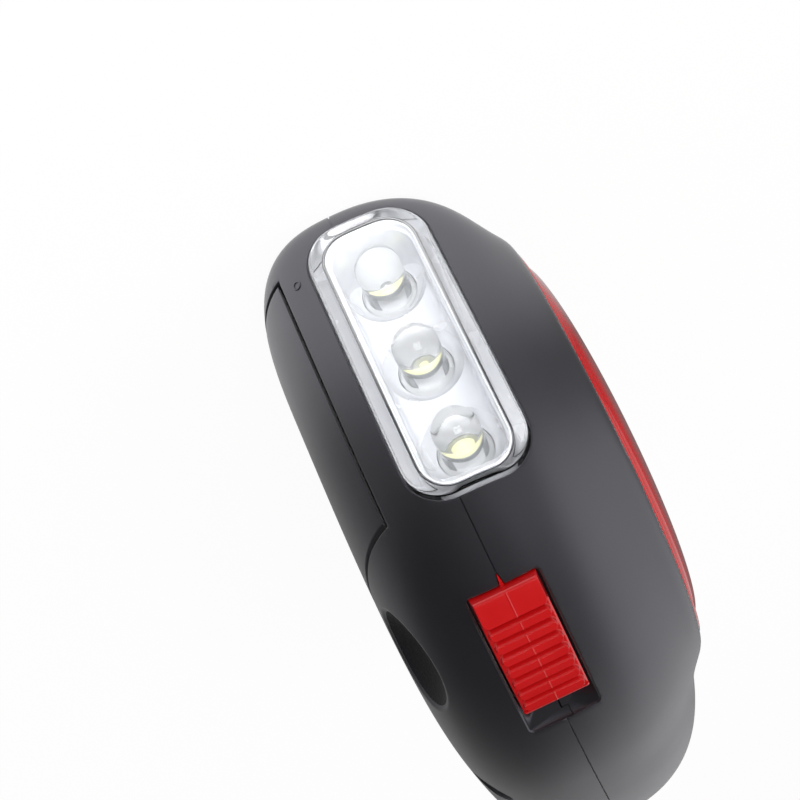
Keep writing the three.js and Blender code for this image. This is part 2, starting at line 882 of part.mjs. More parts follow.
function makeKnobPin() {
  const start = handleOuterX + snugGap;
  const outline = [
    [0, start],
    [knobPinHeadRadius, start],
    [knobPinHeadRadius, start + knobPinHead],
    [knobPinRadius, start + knobPinHead],
    [knobPinRadius, knobEndX - knobWaist - snugGap],
    [0, knobEndX - knobWaist - snugGap],
  ];
  return turned('x', [knobY, crankZ], outline, smallSides);
}

function makeRing() {
  const outline = [
    [ringRadius - ringWidth, rimX - snugGap],
    [ringRadius - snugGap, rimX - snugGap],
    [ringRadius, rimX + snugGap],
    [ringRadius, rimX + ringThickness - snugGap],
    [ringRadius - ringWidth, rimX + ringThickness - snugGap],
    [ringRadius - ringWidth, rimX - snugGap],
  ];
  return turned('x', crankCentre, outline, roundSides);
}

// Gear train, with all axles along x

function besides(centre, distance, bearing) {
  const angle = THREE.MathUtils.degToRad(bearing);
  return [centre[0] + distance * Math.cos(angle), centre[1] + distance * Math.sin(angle)];
}

function gearOutline(centre, teeth, module, phase) {
  const flank = THREE.MathUtils.degToRad(pressureAngle);
  const pitch = (teeth * module) / 2;
  const base = pitch * Math.cos(flank);
  const roll = (angle) => Math.tan(angle) - angle;
  const halfTooth = Math.PI / (2 * teeth) - backlash / (4 * pitch);
  const root = pitch - dedendumShare * module;
  const tip = pitch + addendumShare * module;
  const spread = (radius) => halfTooth + roll(flank) - roll(Math.acos(Math.min(1, base / radius)));
  const radii = root < base ? [root, base, pitch, tip] : [root, tip];
  const points = [];
  for (let tooth = 0; tooth < teeth; tooth += 1) {
    const middle = phase + (2 * Math.PI * tooth) / teeth;
    for (const radius of radii) {
      const angle = middle - spread(radius);
      points.push([centre[0] + radius * Math.cos(angle), centre[1] + radius * Math.sin(angle)]);
    }
    for (const radius of [...radii].reverse()) {
      const angle = middle + spread(radius);
      points.push([centre[0] + radius * Math.cos(angle), centre[1] + radius * Math.sin(angle)]);
    }
  }
  return points.filter(([a, b], i) => {
    const [c, e] = points[(i + 1) % points.length];
    return Math.hypot(a - c, b - e) > weldDistance;
  });
}

// Meshing pair: the wheel has a tooth on the line between the centres and the pinion has a gap there
function wheelPhase(bearing) {
  return THREE.MathUtils.degToRad(bearing);
}

function pinionPhase(bearing) {
  return THREE.MathUtils.degToRad(bearing) + Math.PI + Math.PI / pinionTeeth;
}

const driveReach = ((driveTeeth + pinionTeeth) * driveModule) / 2;
const firstReach = ((firstTeeth + pinionTeeth) * firstModule) / 2;
const secondReach = ((secondTeeth + pinionTeeth) * secondModule) / 2;
const firstCentre = besides(crankCentre, driveReach, firstBearing);
const secondCentre = besides(firstCentre, firstReach, secondBearing);
const generatorCentre = besides(secondCentre, secondReach, generatorBearing);

function makeDriveGear() {
  const outline = gearOutline(crankCentre, driveTeeth, driveModule, wheelPhase(firstBearing));
  const wheel = prism('x', outline, driveEndX, driveStartX);
  return wheel.subtract(rod('x', crankCentre, axleRadius + runningGap, -2 * overrun, overrun, mediumSides));
}

function compoundGear(centre, entry, exit) {
  const small = gearOutline(centre, pinionTeeth, entry.module, pinionPhase(entry.bearing));
  const large = gearOutline(centre, exit.teeth, exit.module, wheelPhase(exit.bearing));
  const pinion = prism('x', small, entry.from, exit.from + snugGap);
  const wheel = prism('x', large, exit.from, exit.to);
  const boreRadius = gearPinRadius + runningGap;
  const bore = rod('x', centre, boreRadius, entry.from - overrun, exit.to + overrun, smallSides);
  return join(pinion, wheel).subtract(bore);
}

const firstFrom = firstStartX - firstThickness;
const secondFrom = secondStartX - secondThickness;

function makeFirstGear() {
  const entry = { module: driveModule, bearing: firstBearing, from: driveEndX };
  const exit = {
    module: firstModule,
    teeth: firstTeeth,
    bearing: secondBearing,
    from: firstFrom,
    to: firstStartX,
  };
  return compoundGear(firstCentre, entry, exit);
}

function makeSecondGear() {
  const entry = { module: firstModule, bearing: secondBearing, from: firstFrom - snugGap };
  const exit = {
    module: secondModule,
    teeth: secondTeeth,
    bearing: generatorBearing,
    from: secondFrom,
    to: secondStartX,
  };
  return compoundGear(secondCentre, entry, exit);
}

const pinBossX = driveEndX - gearGap;
const secondPinBossX = firstFrom - snugGap - gearGap;
const pinSeat = wellWall - seatGap;
const pinHoleDepth = pinSeat + snugGap;

function makeGearPin(centre, seatX) {
  return rod('x', centre, gearPinRadius, seatX - pinSeat, plateX + plateThickness - snugGap, tinySides);
}

const plateScrews = [
  besides(firstCentre, upperScrewReach, upperScrewBearing),
  besides(firstCentre, lowerScrewReach, lowerScrewBearing),
  besides(generatorCentre, canRadius + plateEdge + snugGap, rearScrewBearing),
];

function makeGearPlate() {
  const discs = plateScrews.map(([y, z]) => [y, z, plateEdge]);
  discs.push([...firstCentre, plateEdge]);
  let plate = prism('x', outlineAround(discs, smallSides), plateX, plateX + plateThickness);
  for (const centre of [firstCentre, secondCentre]) {
    plate = plate.subtract(rod('x', centre, gearPinRadius + runningGap, -overrun, overrun, smallSides));
  }
  plate = plate.subtract(rod('x', generatorCentre, shaftRadius + snugGap, -overrun, overrun, smallSides));
  for (const centre of plateScrews) {
    plate = plate.subtract(rod('x', centre, smallShankRadius + snugGap, -overrun, overrun, smallSides));
  }
  return plate;
}

function makeAxle() {
  const start = handleFloorX + wall + snugGap;
  return rod('x', crankCentre, axleRadius, start, driveStartX + 3 * clipThickness, mediumSides);
}

function makeBush() {
  const from = wellFloorX + snugGap;
  const to = wellFloorX + wellWall + snugGap;
  const outline = [
    [axleRadius + runningGap, from],
    [bushRadius - runningGap, from],
    [bushRadius - runningGap, to],
    [axleRadius + runningGap, to],
    [axleRadius + runningGap, from],
  ];
  return turned('x', crankCentre, outline, mediumSides);
}

function makeAxleClip() {
  const from = driveStartX + snugGap;
  const outline = [
    [axleRadius + runningGap, from],
    [clipRadius, from],
    [clipRadius, from + clipThickness],
    [axleRadius + runningGap, from + clipThickness],
    [axleRadius + runningGap, from],
  ];
  return turned('x', crankCentre, outline, mediumSides);
}

// Generator

function makeCan() {
  const can = rod('x', generatorCentre, canRadius, canX, canX + canLength, roundSides);
  const floorX = canX + canLength - canWall;
  const inside = rod('x', generatorCentre, canRadius - canWall, canX - overrun, floorX, roundSides);
  const bearingRadius = shaftRadius + snugGap;
  const bearing = rod('x', generatorCentre, bearingRadius, canX, canX + canLength + overrun, smallSides);
  return cut(can, inside, bearing);
}

const coilStart = canX + canLength - canWall - snugGap - coilLength;

function makeCoil() {
  const outer = canRadius - canWall - snugGap;
  const outline = [
    [coilInnerRadius, coilStart],
    [outer, coilStart],
    [outer, coilStart + coilLength],
    [coilInnerRadius, coilStart + coilLength],
    [coilInnerRadius, coilStart],
  ];
  return turned('x', generatorCentre, outline, mediumSides);
}

function makeGeneratorRotor() {
  const start = coilStart + (coilLength - magnetLength) / 2;
  const shaftEnd = canX + canLength - snugGap;
  const pinion = prism(
    'x', gearOutline(generatorCentre, pinionTeeth, secondModule, pinionPhase(generatorBearing)),
    secondFrom - snugGap, secondStartX,
  );
  const shaft = rod('x', generatorCentre, shaftRadius, secondStartX - snugGap, shaftEnd, smallSides);
  const magnet = rod('x', generatorCentre, magnetRadius, start, start + magnetLength, mediumSides);
  return join(pinion, shaft, magnet);
}

// Circuit board

const boardEndX = boardX + boardThickness;
const boardFront = cellY + bayRadius + cupWall + boardGap;
const boardMiddleY = boardFront + boardWidth / 2;
const boardScrews = [
  [boardMiddleY, boardBottom + boardHoleInset],
  [boardMiddleY, boardBottom + boardHeight - boardHoleInset],
];

function makeBoard() {
  const low = [boardFront, boardBottom];
  const high = [boardFront + boardWidth, boardBottom + boardHeight];
  let board = prism('x', roundedRectangle(low, high, boardThickness, 1), boardX, boardEndX);
  const chipY = boardMiddleY - chipSize / 2;
  const chipZ = boardBottom + boardHeight / 2;
  board = board.add(box(
    boardX - chipHeight, boardX + snugGap,
    chipY, chipY + chipSize,
    chipZ, chipZ + chipSize,
  ));
  for (const centre of boardScrews) {
    board = board.subtract(rod('x', centre, smallShankRadius + snugGap, -overrun, 3 * overrun, smallSides));
  }
  return board;
}

function makeCapacitor() {
  const centre = [boardEndX + snugGap + capacitorRadius, boardMiddleY];
  const start = boardBottom + (boardHeight - capacitorLength) / 2;
  return rod('z', centre, capacitorRadius, start, start + capacitorLength, mediumSides);
}

// Screws

// A cross-head screw along x: side 1 has its head towards +X, side -1 towards -X
function screw(centre, headX, side, sizes) {
  const head = rod(
    'x', centre, sizes.headRadius,
    Math.min(headX, headX - side * sizes.head), Math.max(headX, headX - side * sizes.head), mediumSides,
  );
  const tip = headX - side * (sizes.head + sizes.length);
  const neck = headX - side * (sizes.head - snugGap);
  const shank = rod('x', centre, sizes.shankRadius, Math.min(neck, tip), Math.max(neck, tip), tinySides);
  let whole = head.add(shank);
  const arm = sizes.headRadius * crossShare;
  const deep = headX - side * crossDepth;
  const above = headX + side * overrun;
  for (const [a, b] of [[arm, crossWidth / 2], [crossWidth / 2, arm]]) {
    const slot = box(
      Math.min(deep, above), Math.max(deep, above),
      centre[0] - a, centre[0] + a,
      centre[1] - b, centre[1] + b,
    );
    whole = whole.subtract(slot);
  }
  return whole;
}

const caseSizes = {
  headRadius: screwHeadRadius,
  head: screwHead,
  length: screwLength,
  shankRadius: screwShankRadius,
};
const smallSizes = {
  headRadius: smallHeadRadius,
  head: smallHead,
  length: smallLength,
  shankRadius: smallShankRadius,
};
const caseScrews = [
  [crownY - wall, height - wall - caseBossRadius - snugGap],
  [halfLength - rearScrewSetback, height - rearScrewDrop],
  [halfLength - heelLength + wall * 2, wall + caseBossRadius + snugGap],
  [coverBack + coverCorner + caseBossRadius, wall + caseBossRadius + snugGap],
];

// Half shells

function shellFeatures(side) {
  const space = side > 0 ? leftSpace : rightSpace;
  const collar = prism('y', lensOutline(snugGap + collarWall), noseFront, lensBackY);
  const features = [collar, switchPad()];
  const far = side > 0 ? farLeft : farRight;
  for (const centre of caseScrews) {
    features.push(rod('x', centre, caseBossRadius, Math.min(far, seamX), Math.max(far, seamX), mediumSides));
  }
  const ribY = lampBoardY - seatGap;
  const ribEdge = side * (lampBoardWidth / 2 + seatGap);
  features.push(box(
    Math.min(ribEdge, far), Math.max(ribEdge, far),
    ribY, ribY + boardRibDepth,
    lampMiddleZ - boardRibWidth / 2, lampMiddleZ + boardRibWidth / 2,
  ));
  return { space, features };
}

function screwHoles() {
  const holes = [];
  const seatX = screwSinkX - screwHead - snugGap;
  const tipX = screwSinkX - screwHead - screwLength - wall;
  for (const centre of caseScrews) {
    holes.push(rod('x', centre, screwShankRadius + snugGap, tipX, farLeft, smallSides));
    holes.push(rod('x', centre, screwHeadRadius + seatGap, seatX, farLeft, mediumSides));
  }
  return holes;
}

// Scoop: a shallow dish whose rim is scoopRadius across, square to the surface where it sits
const dishRadius = (scoopRadius * scoopRadius + scoopDepth * scoopDepth) / (2 * scoopDepth);

function surfacePoint(y, z) {
  const probe = rod('x', [y, z], snugGap, 0, farLeft, tinySides).intersect(outerLeft);
  const reach = probe.boundingBox().max[0];
  return new THREE.Vector3(reach, y, z);
}

function scoopCentre() {
  const step = scoopRadius / 4;
  const here = surfacePoint(scoopY, scoopZ);
  const along = surfacePoint(scoopY + step, scoopZ).sub(surfacePoint(scoopY - step, scoopZ));
  const up = surfacePoint(scoopY, scoopZ + step).sub(surfacePoint(scoopY, scoopZ - step));
  const outward = along.cross(up).normalize();
  if (outward.x < 0) {
    outward.negate();
  }
  return here.addScaledVector(outward, dishRadius - scoopDepth);
}

function ball(centre, radius) {
  const geometry = new THREE.SphereGeometry(radius, roundSides, mediumSides);
  geometry.rotateZ(Math.PI / 2);
  geometry.translate(centre.x, centre.y, centre.z);
  return toSolid(geometry);
}

function makeLeftShell() {
  const { space, features } = shellFeatures(1);
  const dish = scoopCentre();
  features.push(prism('x', coverOutline(ledgeMargin), ledgeX - ledgeThickness, farLeft));
  features.push(ball(dish, dishRadius + scoopWall));
  for (const centre of boardScrews) {
    features.push(rod('x', centre, pinBossRadius, boardEndX + snugGap, farLeft, smallSides));
  }
  features.push(rod('x', generatorCentre, canSeatRadius, canX + canLength + seatGap, farLeft, mediumSides));
  const solid = outerLeft.subtract(cut(innerLeft, ...features));
  const threadRadius = smallShankRadius + snugGap;
  const threadEndX = boardX + smallLength + snugGap;
  const cuts = [
    prism('x', coverOutline(0), ledgeX, farLeft),
    rod('x', [cellY, cellZ], bayRadius, seamX, farLeft, roundSides),
    ball(dish, dishRadius),
    prism('y', lensOutline(snugGap), noseFront, lensBackY + overrun),
    switchSlot(),
    switchRoom(),
    ...screwHoles(),
    ...boardScrews.map((centre) => rod('x', centre, threadRadius, 0, threadEndX, tinySides)),
  ];
  return cut(solid, ...cuts).intersect(space);
}

function makeRightShell() {
  const { space, features } = shellFeatures(-1);
  const wellOuter = wellRadius + wellWall;
  const wellBackX = wellFloorX + wellWall;
  const seatX = rimX + ringThickness;
  const flareX = seatX + wall;
  features.push(rod('x', crankCentre, wellOuter, farRight, wellBackX, roundSides));
  features.push(rod('x', crankCentre, ringRadius + bossWall, farRight, flareX, roundSides));
  features.push(rod('x', firstCentre, pinBossRadius, farRight, pinBossX, smallSides));
  features.push(rod('x', secondCentre, pinBossRadius, farRight, secondPinBossX, smallSides));
  for (const centre of plateScrews) {
    features.push(rod('x', centre, pinBossRadius, farRight, plateX - snugGap, smallSides));
  }
  const lampRoom = prism('y', lensOutline(snugGap + collarWall), lensBackY, lampBoardY + lampBoardThickness);
  const flare = [
    [0, rimX],
    [ringRadius + bossWall, rimX],
    [ringRadius + bossWall + bossFlare, flareX + wall * 2],
    [0, flareX + wall * 2],
  ];
  const boss = turned('x', crankCentre, flare, roundSides).intersect(aboveBelly);
  const whole = outerRight.add(boss);
  const threadRadius = smallShankRadius + snugGap;
  const threadEndX = plateX - 2 * smallLength;
  const solid = whole.subtract(cut(innerRight, ...features));
  const cuts = [
    rod('x', crankCentre, ringRadius + snugGap, farRight, seatX, roundSides),
    rod('x', crankCentre, wellRadius, farRight, wellFloorX, roundSides),
    rod('x', crankCentre, bushRadius, farRight, seamX, mediumSides),
    prism('y', lensOutline(snugGap), noseFront, lensBackY + overrun / 2),
    lampRoom.intersect(prism('y', lensOutline(-lensWall), noseFront, lampBoardY + lampBoardThickness)),
    switchSlot(),
    switchRoom(),
    ...screwHoles(),
    rod('x', firstCentre, gearPinRadius + runningGap, pinBossX - pinHoleDepth, seamX, smallSides),
    rod('x', secondCentre, gearPinRadius + runningGap, secondPinBossX - pinHoleDepth, seamX, smallSides),
    ...plateScrews.map((centre) => rod('x', centre, threadRadius, threadEndX, seamX, smallSides)),
  ];
  return cut(solid, ...cuts).intersect(space);
}

// Materials

const paint = {
  black_plastic: { color: 0x2b2b2e, roughness: 0.45, metalness: 0 },
  red_plastic: { color: 0xc8141a, roughness: 0.3, metalness: 0 },
  clear_plastic: { color: 0xe8eef0, roughness: 0.08, metalness: 0, transparent: true, opacity: 0.35 },
  lamp_resin: { color: 0xeef1e8, roughness: 0.05, metalness: 0, transparent: true, opacity: 0.5 },
  silvered: { color: 0xd8dadc, roughness: 0.18, metalness: 0.9 },
  steel: { color: 0xb4b6b8, roughness: 0.35, metalness: 1 },
  brass: { color: 0xc9a456, roughness: 0.3, metalness: 1 },
  copper: { color: 0xb5602c, roughness: 0.4, metalness: 0.9 },
  gear_plastic: { color: 0xe9e6da, roughness: 0.5, metalness: 0 },
  board_green: { color: 0x1f6b3a, roughness: 0.5, metalness: 0 },
};

const flashlight = new THREE.Group();
flashlight.name = 'flashlight';
const stock = {};
for (const [name, look] of Object.entries(paint)) {
  stock[name] = new THREE.MeshStandardMaterial(look);
}

function place(name, solid, look) {
  const mesh = new THREE.Mesh(toGeometry(solid), stock[look]);
  mesh.name = name;
  flashlight.add(mesh);
}

place('shell_left', makeLeftShell(), 'black_plastic');
place('shell_right', makeRightShell(), 'black_plastic');
place('lens', makeLens(), 'clear_plastic');
place('reflector', makeReflector(), 'silvered');
lampPlaces.forEach((z, i) => place(`led_${i + 1}`, makeLamp(z), 'lamp_resin'));
place('led_board', makeLampBoard(), 'board_green');
place('battery_cover', makeCover(), 'black_plastic');
place('cover_contact', makeCoverContact(), 'brass');
place('battery_cup', makeBayCup(), 'black_plastic');
place('battery_contact', makeBayContact(), 'brass');
[0, 1].forEach((index) => place(`cell_${index + 1}`, makeCell(index), 'steel'));
place('switch_slider', makeSlider(), 'red_plastic');
place('switch_body', makeSwitchBody(), 'steel');
place('crank_ring', makeRing(), 'red_plastic');
place('crank_disc', makeRotor(), 'red_plastic');
place('crank_handle', makeHandle(), 'red_plastic');
place('handle_pin', makeHandlePin(), 'steel');
place('crank_knob', makeKnob(), 'black_plastic');
place('knob_pin', makeKnobPin(), 'steel');
place('crank_axle', makeAxle(), 'steel');
place('crank_bush', makeBush(), 'brass');
place('drive_gear', makeDriveGear(), 'gear_plastic');
place('axle_clip', makeAxleClip(), 'steel');
place('gear_first', makeFirstGear(), 'gear_plastic');
place('gear_second', makeSecondGear(), 'gear_plastic');
place('gear_pin_first', makeGearPin(firstCentre, pinBossX), 'steel');
place('gear_pin_second', makeGearPin(secondCentre, secondPinBossX), 'steel');
place('gear_plate', makeGearPlate(), 'steel');
place('generator_can', makeCan(), 'steel');
place('generator_coil', makeCoil(), 'copper');
place('generator_rotor', makeGeneratorRotor(), 'steel');
place('main_board', makeBoard(), 'board_green');
place('capacitor', makeCapacitor(), 'black_plastic');
caseScrews.forEach((centre, i) => {
  place(`case_screw_${i + 1}`, screw(centre, screwSinkX, 1, caseSizes), 'steel');
});
plateScrews.forEach((centre, i) => {
  const headX = plateX + plateThickness + snugGap + smallHead;
  place(`plate_screw_${i + 1}`, screw(centre, headX, 1, smallSizes), 'steel');
});
boardScrews.forEach((centre, i) => {
  const headX = boardX - snugGap - smallHead;
  place(`board_screw_${i + 1}`, screw(centre, headX, -1, smallSizes), 'steel');
});

export default flashlight;
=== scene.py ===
import json
import math

import bmesh
import bpy
import numpy as np
from mathutils import Matrix, Vector


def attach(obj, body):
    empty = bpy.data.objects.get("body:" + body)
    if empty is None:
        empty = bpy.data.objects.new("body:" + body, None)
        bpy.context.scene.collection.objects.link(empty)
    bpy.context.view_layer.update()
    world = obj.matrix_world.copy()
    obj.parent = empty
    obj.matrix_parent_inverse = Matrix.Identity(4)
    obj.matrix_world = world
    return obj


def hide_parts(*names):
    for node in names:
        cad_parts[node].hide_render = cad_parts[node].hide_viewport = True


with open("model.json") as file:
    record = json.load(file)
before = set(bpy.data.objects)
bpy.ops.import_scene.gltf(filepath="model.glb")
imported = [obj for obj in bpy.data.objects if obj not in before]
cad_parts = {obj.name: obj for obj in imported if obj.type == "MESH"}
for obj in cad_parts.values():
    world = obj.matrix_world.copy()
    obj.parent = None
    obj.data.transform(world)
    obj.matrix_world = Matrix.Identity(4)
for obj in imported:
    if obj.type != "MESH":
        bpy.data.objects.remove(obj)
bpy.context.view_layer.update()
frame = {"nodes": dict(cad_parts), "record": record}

# Lengths are in millimetres and become metres when a mesh is made
METRE = 0.001

# Body outline and width, as in the solids
HALF_LENGTH = 54
HEIGHT = 57.2
NOSE_HEIGHT = 14
NOSE_ARCH = 42.2
NOSE_UNDERCUT = 19.6
TAIL_HEIGHT = 20.5
HEEL_LENGTH = 24
BELLY_TRIM = 1.5
CROWN_POWER = 2.77
BACK_POWER = 2.2
HEEL_POWER = 2.6
CHIN_POWER = 6.5
SEAM_X = 2.4
SEAM_GAP = 0.3
SKIN_GAP = 0.15
SEAM_EDGE = 0.03
TONGUE_INSET = 0.16
TONGUE_THICKNESS = 0.6
TONGUE_REACH = 0.7
BULGE_Z = 24.5
LEFT = {"side": 1, "bulge": 13.8, "edge_power": 5.6, "flank_power": 2.64, "centre_y": 0}
RIGHT = {"side": -1, "bulge": 17.2, "edge_power": 4.5, "flank_power": 2.3, "centre_y": -20}
SKIN = 1.2
CORE_INSET = 1.0
FAR = 90

# Clearances and edges
SNUG = 0.15
SEAT = 0.3
EDGE = 0.22
EDGE_CLEAR = 0.35
NEAR_PARALLEL = 0.98
SMALL_BEVEL = 0.15
TINY_EDGE = 0.01
OVERRUN = 8

# How points are found on the body surface, and what lies on a surface
HALVINGS = 46
SEARCH_OUT = 9
SEARCH_IN = 0.05
SEAM_CLEAR = 0.01
BEYOND = 30
NOSE_INSIDE = -20
ABOVE_SLOPE = 6
BELOW_SLOPE = -4
ON_SKIN = 0.004
ON_DOME = 0.03
SAME_SIDE = 28

# Fine counts, and how layers are spread over a half of the body
OUTLINE_STEPS = 4000
PEAK_STEPS = 600
LAYER_POWER = 1.5
MEAN_REACH = 27
EDGE_STEPS = 4
SEAM_STEPS = 4
OUTLINE_POINTS = 260
LAYERS = 80
COARSE_POINTS = 120
COARSE_LAYERS = 40
ROUND = 160
SMALL_ROUND = 64
TINY_ROUND = 40
LOOP_STEPS = 14

# The radius that closes a turned shape on its axis, a quarter turn, and angles up to which edges look smooth
ON_AXIS = 0.002
QUARTER = math.pi / 2
CRISP = 30
SOFT = 35
SOFTER = 40
BODY_SMOOTH = 32
SLIDER_SMOOTH = 50

# Lens and lamps
LENS_WIDTH = 13.2
LENS_BOTTOM = 3.1
LAMP_PITCH = 10.5
LENS_MARGIN = 11.5
LENS_CORNER = 4.2
LENS_PROUD = 0.9
LENS_WALL = 1
LENS_SIDE_WALL = 1.55
LENS_DEPTH = 6.4
LENS_EDGE = 0.5
LENS_GAP = 0.12
LENS_LOW_GAP = 0.42
LENS_INNER_EDGE = 0.35
LENS_EDGE_STEPS = 6
LAMP_DROP = 1.7
LAMP_RADIUS = 2.5
LAMP_RIM = 0.4
LAMP_FLANGE = 1
LAMP_LENGTH = 8.6
LAMP_SETBACK = 2.25
LAMP_CUP_DEPTH = 3.5
POST_ASIDE = 1.1
POST_START = 1.1
POST_HALF = 0.25
POST_FOOT_HALF = 0.3
POST_CORNER = 0.1
POST_END = 0.15
BASE_INSET = 0.1
BASE_END = 0.05
REFLECTOR_SETBACK = 0.45
REFLECTOR_WALL = 0.3
REFLECTOR_FLOOR = 0.9
REFLECTOR_RIM = 0.5
TRAY_LIP = 1.1
TRAY_STEP = 0.25
TRAY_CUP_RADIUS = 4.3
TRAY_CUP_DEPTH = 1.4
TRAY_CUP_STEPS = 16
TRAY_CUP_POWER = 0.7
TRAY_CORNER = 0.8
CUP_CLEAR = 0.05

# Profiles inside a lamp: pairs of a radius and a distance back from the cup's front
LAMP_CUP = ((1, 0), (1.06, 0), (1.1, 0.05), (0.9, 1.1), (ON_AXIS, 1.4), (ON_AXIS, 0.3), (0.8, 0.3))
PHOSPHOR_DROP = ((ON_AXIS, -0.12), (0.6, -0.1), (0.85, 0), (0.95, 0.1), (ON_AXIS, 0.25))

# Battery cover and its opening
COVER_X = 10.3
COVER_BOTTOM = 4.4
COVER_TOP = 34.5
COVER_LENGTH = 48
COVER_CORNER = 4
COVER_GAP = 0.35
COVER_MIDDLE_Y = -28
COVER_PAST = 1.2
SHELL_PAST = 0.04
SIDE_POINTS = 60
BACK_POINTS = 24
CELL_RADIUS = 10
CELL_Z = 19.5
CUP_WALL = 1
CELL_BAY_GAP = 3.5
LAMP_BOARD = 1.2
LEDGE = 1.3
CONTACT = 0.4
PAD_RADIUS = 8
WALL = 2

# Moulding mark on the nose
PIP_PLACE = (8.34, 6.8)
PIP_RADIUS = 0.42
PIP_WIRE = 0.1
PIP_POINTS = 48
PIP_SIDES = 10

# Thumb scoop
SCOOP_Y = -36.5
SCOOP_Z = 43.3
SCOOP_RADIUS = 6.4
SCOOP_DEPTH = 2.4
SCOOP_EDGE = 0.3
LINING = 0.06
SCOOP_ROUND = 0.35
RIM_POINTS = 120

# Slide switch
SWITCH_WIDTH = 7.1
SWITCH_LENGTH = 14
SWITCH_FRONT_SHARE = 0.7037
SWITCH_BACK_SHARE = 0.9074
SWITCH_TRAVEL = 3
SWITCH_SINK = 1.5
SWITCH_RISE = 0.9
RIB_PITCH = 1.5
RIB_ROOM = 0.5
RIB_DEPTH = 0.75
RIB_BELOW_PAD = 0.16
RIB_FRONT = 0.4
RIB_END = 0.98
RIB_BACK = 0.12
RIB_MIDDLE = 0.52
RIB_HALF = 0.46
RIB_MARGIN = 0.22
RIB_CORNER = 0.62
RIB_SLOPE = 0.16
THUMB_PAD = 3
PAD_CORNER = 0.7
PAD_EDGE = 0.2
SIDE_ROUND = 0.25
LOW_ROUND = 0.3
HIGH_ROUND = 0.4
LINE_RISE = 0.045
LINE_WIDTH = 0.06
STEM_WIDTH = 2.4
STEM_LENGTH = 3
STEM_DEPTH = 2.6
SLOT_CORNER = 0.5
SLOT_TOP = 12
STEM_CORNER = 0.3
GRID_LINE = (0.03, 0.07, 0.12)
GRID_START = 0.2
GRID_BAND = 0.9
GRID_RIM = 0.27

# The switch's thin tail and its notch: half width, half width at the foot, top and foot
TAIL_SHAPE = (0.26, 0.06, 0.3, -1.2)
TAIL_DEPTH = 0.6
TAIL_MIDDLE = -0.8
TAIL_LIFT = 0.02
NOTCH_SHAPE = (0.38, 0.13, 0.2, -1.4)
NOTCH_DEPTH = 0.8

# Crank
CRANK_Y = -23.9
CRANK_Z = 24.6
RING_RADIUS = 24.1
RING_WIDTH = 1.5
RING_THICKNESS = 2
RIM_X = -14.5
DOME_RISE = 2.5
DOME_POWER = 2.4
DISC_GAP = 0.4
DISC_SEAT_GAP = 0.1
BOSS_WALL = 0.9
BOSS_FLARE = 2.6
BOSS_LIP = 0.6
BOSS_FRONT = 0.05
BOSS_BLEND = 6.4
BOSS_ROUND = 1.8
FIELD_PER_MM = 0.15
DRUM_RADIUS = 17.3
WELL_FLOOR_X = -6.7
AXLE_RADIUS = 2
BUSH_RADIUS = 3.2
RUNNING = 0.06

# Folding handle and knob
HANDLE_WIDTH = 8.4
HANDLE_THICKNESS = 2.4
HANDLE_PROUD = 2.1
HINGE_REACH = 15
KNOB_REACH = 10.4
HINGE_PROUD = 0.5
HINGE_PIN = 0.8
BARREL_RADIUS = 1.4
BARREL_WIDTH = 4.4
LUG_WIDTH = 1.9
NECK_LENGTH = 2.3
HANDLE_GAP = 0.4
KNOB_RADIUS = 4.2
KNOB_LENGTH = 5.4
KNOB_PIN = 1.1
KNOB_PIN_HEAD_RADIUS = 1.9
KNOB_PIN_HEAD = 0.9
KNOB_WAIST = 0.5
KNOB_SWING = 1.2
KNOB_HOLLOW_POWER = 0.6
RECESS_ROUND = 0.35
DOME_MARGIN = 0.2
LUG_ROUND = 0.2
LUG_FOOT = 1
HANDLE_OUTER_ROUND = 0.6
HANDLE_INNER_ROUND = 0.2
DISH_HALF = 2.2
DISH_GAP = 1.2
DISH_DEPTH = 0.5
DISH_ROUND = 0.45

# The domed head of the knob's pin: how far it draws in and falls back
KNOB_PIN_DOME = ((0.76, 0.03), (0.2, 0.12), (0, 0.35))

# Case screws
SCREW_HEAD_RADIUS = 2
SCREW_HEAD = 1.5
SCREW_SHANK = 1.05
SCREW_LENGTH = 9
SCREW_SINK_X = 9.2
SCREW_POINT = 0.6
SCREW_TIP = 0.3
TOP_SCREW_BACK = 15.5
TOP_SCREW_DOWN = 17.2
CROSS_WIDTH = 0.5
CROSS_DEPTH = 0.7
CROSS_SHARE = 0.6
CASE_BOSS = 2.9

# A screw's domed head: shares of its radius and how far they fall back
SCREW_DOME = ((0.5, 0.03), (0.85, 0.16), (1, 0.4))

# Places that follow from the sizes
CROWN_Y = NOSE_ARCH - HALF_LENGTH
HEEL_Y = HALF_LENGTH - HEEL_LENGTH
CHIN_Y = NOSE_UNDERCUT - HALF_LENGTH
LENS_HEIGHT = 2 * LAMP_PITCH + LENS_MARGIN
LAMP_MIDDLE_Z = LENS_BOTTOM + LENS_HEIGHT / 2 - LAMP_DROP
LAMP_BACK_Y = LAMP_SETBACK + LAMP_LENGTH - HALF_LENGTH
LENS_BACK_Y = LENS_DEPTH - HALF_LENGTH
NOSE_FRONT = -HALF_LENGTH - OVERRUN
COVER_BACK = COVER_LENGTH - HALF_LENGTH
LEDGE_X = COVER_X - SEAT
BAY_RADIUS = CELL_RADIUS + SEAT
CELL_Y = LAMP_BACK_Y + SNUG + LAMP_BOARD + CELL_BAY_GAP + BAY_RADIUS + CUP_WALL
CELL_AXIS = (CELL_Y, CELL_Z)
CELL_TOP_X = LEDGE_X - LEDGE - SEAT - CONTACT
HANDLE_OUTER_X = RIM_X - HANDLE_PROUD
HANDLE_INNER_X = HANDLE_OUTER_X + HANDLE_THICKNESS
HANDLE_FLOOR_X = HANDLE_INNER_X + SEAT
HINGE_X = HANDLE_OUTER_X - HINGE_PROUD
HINGE_Y = CRANK_Y + HINGE_REACH
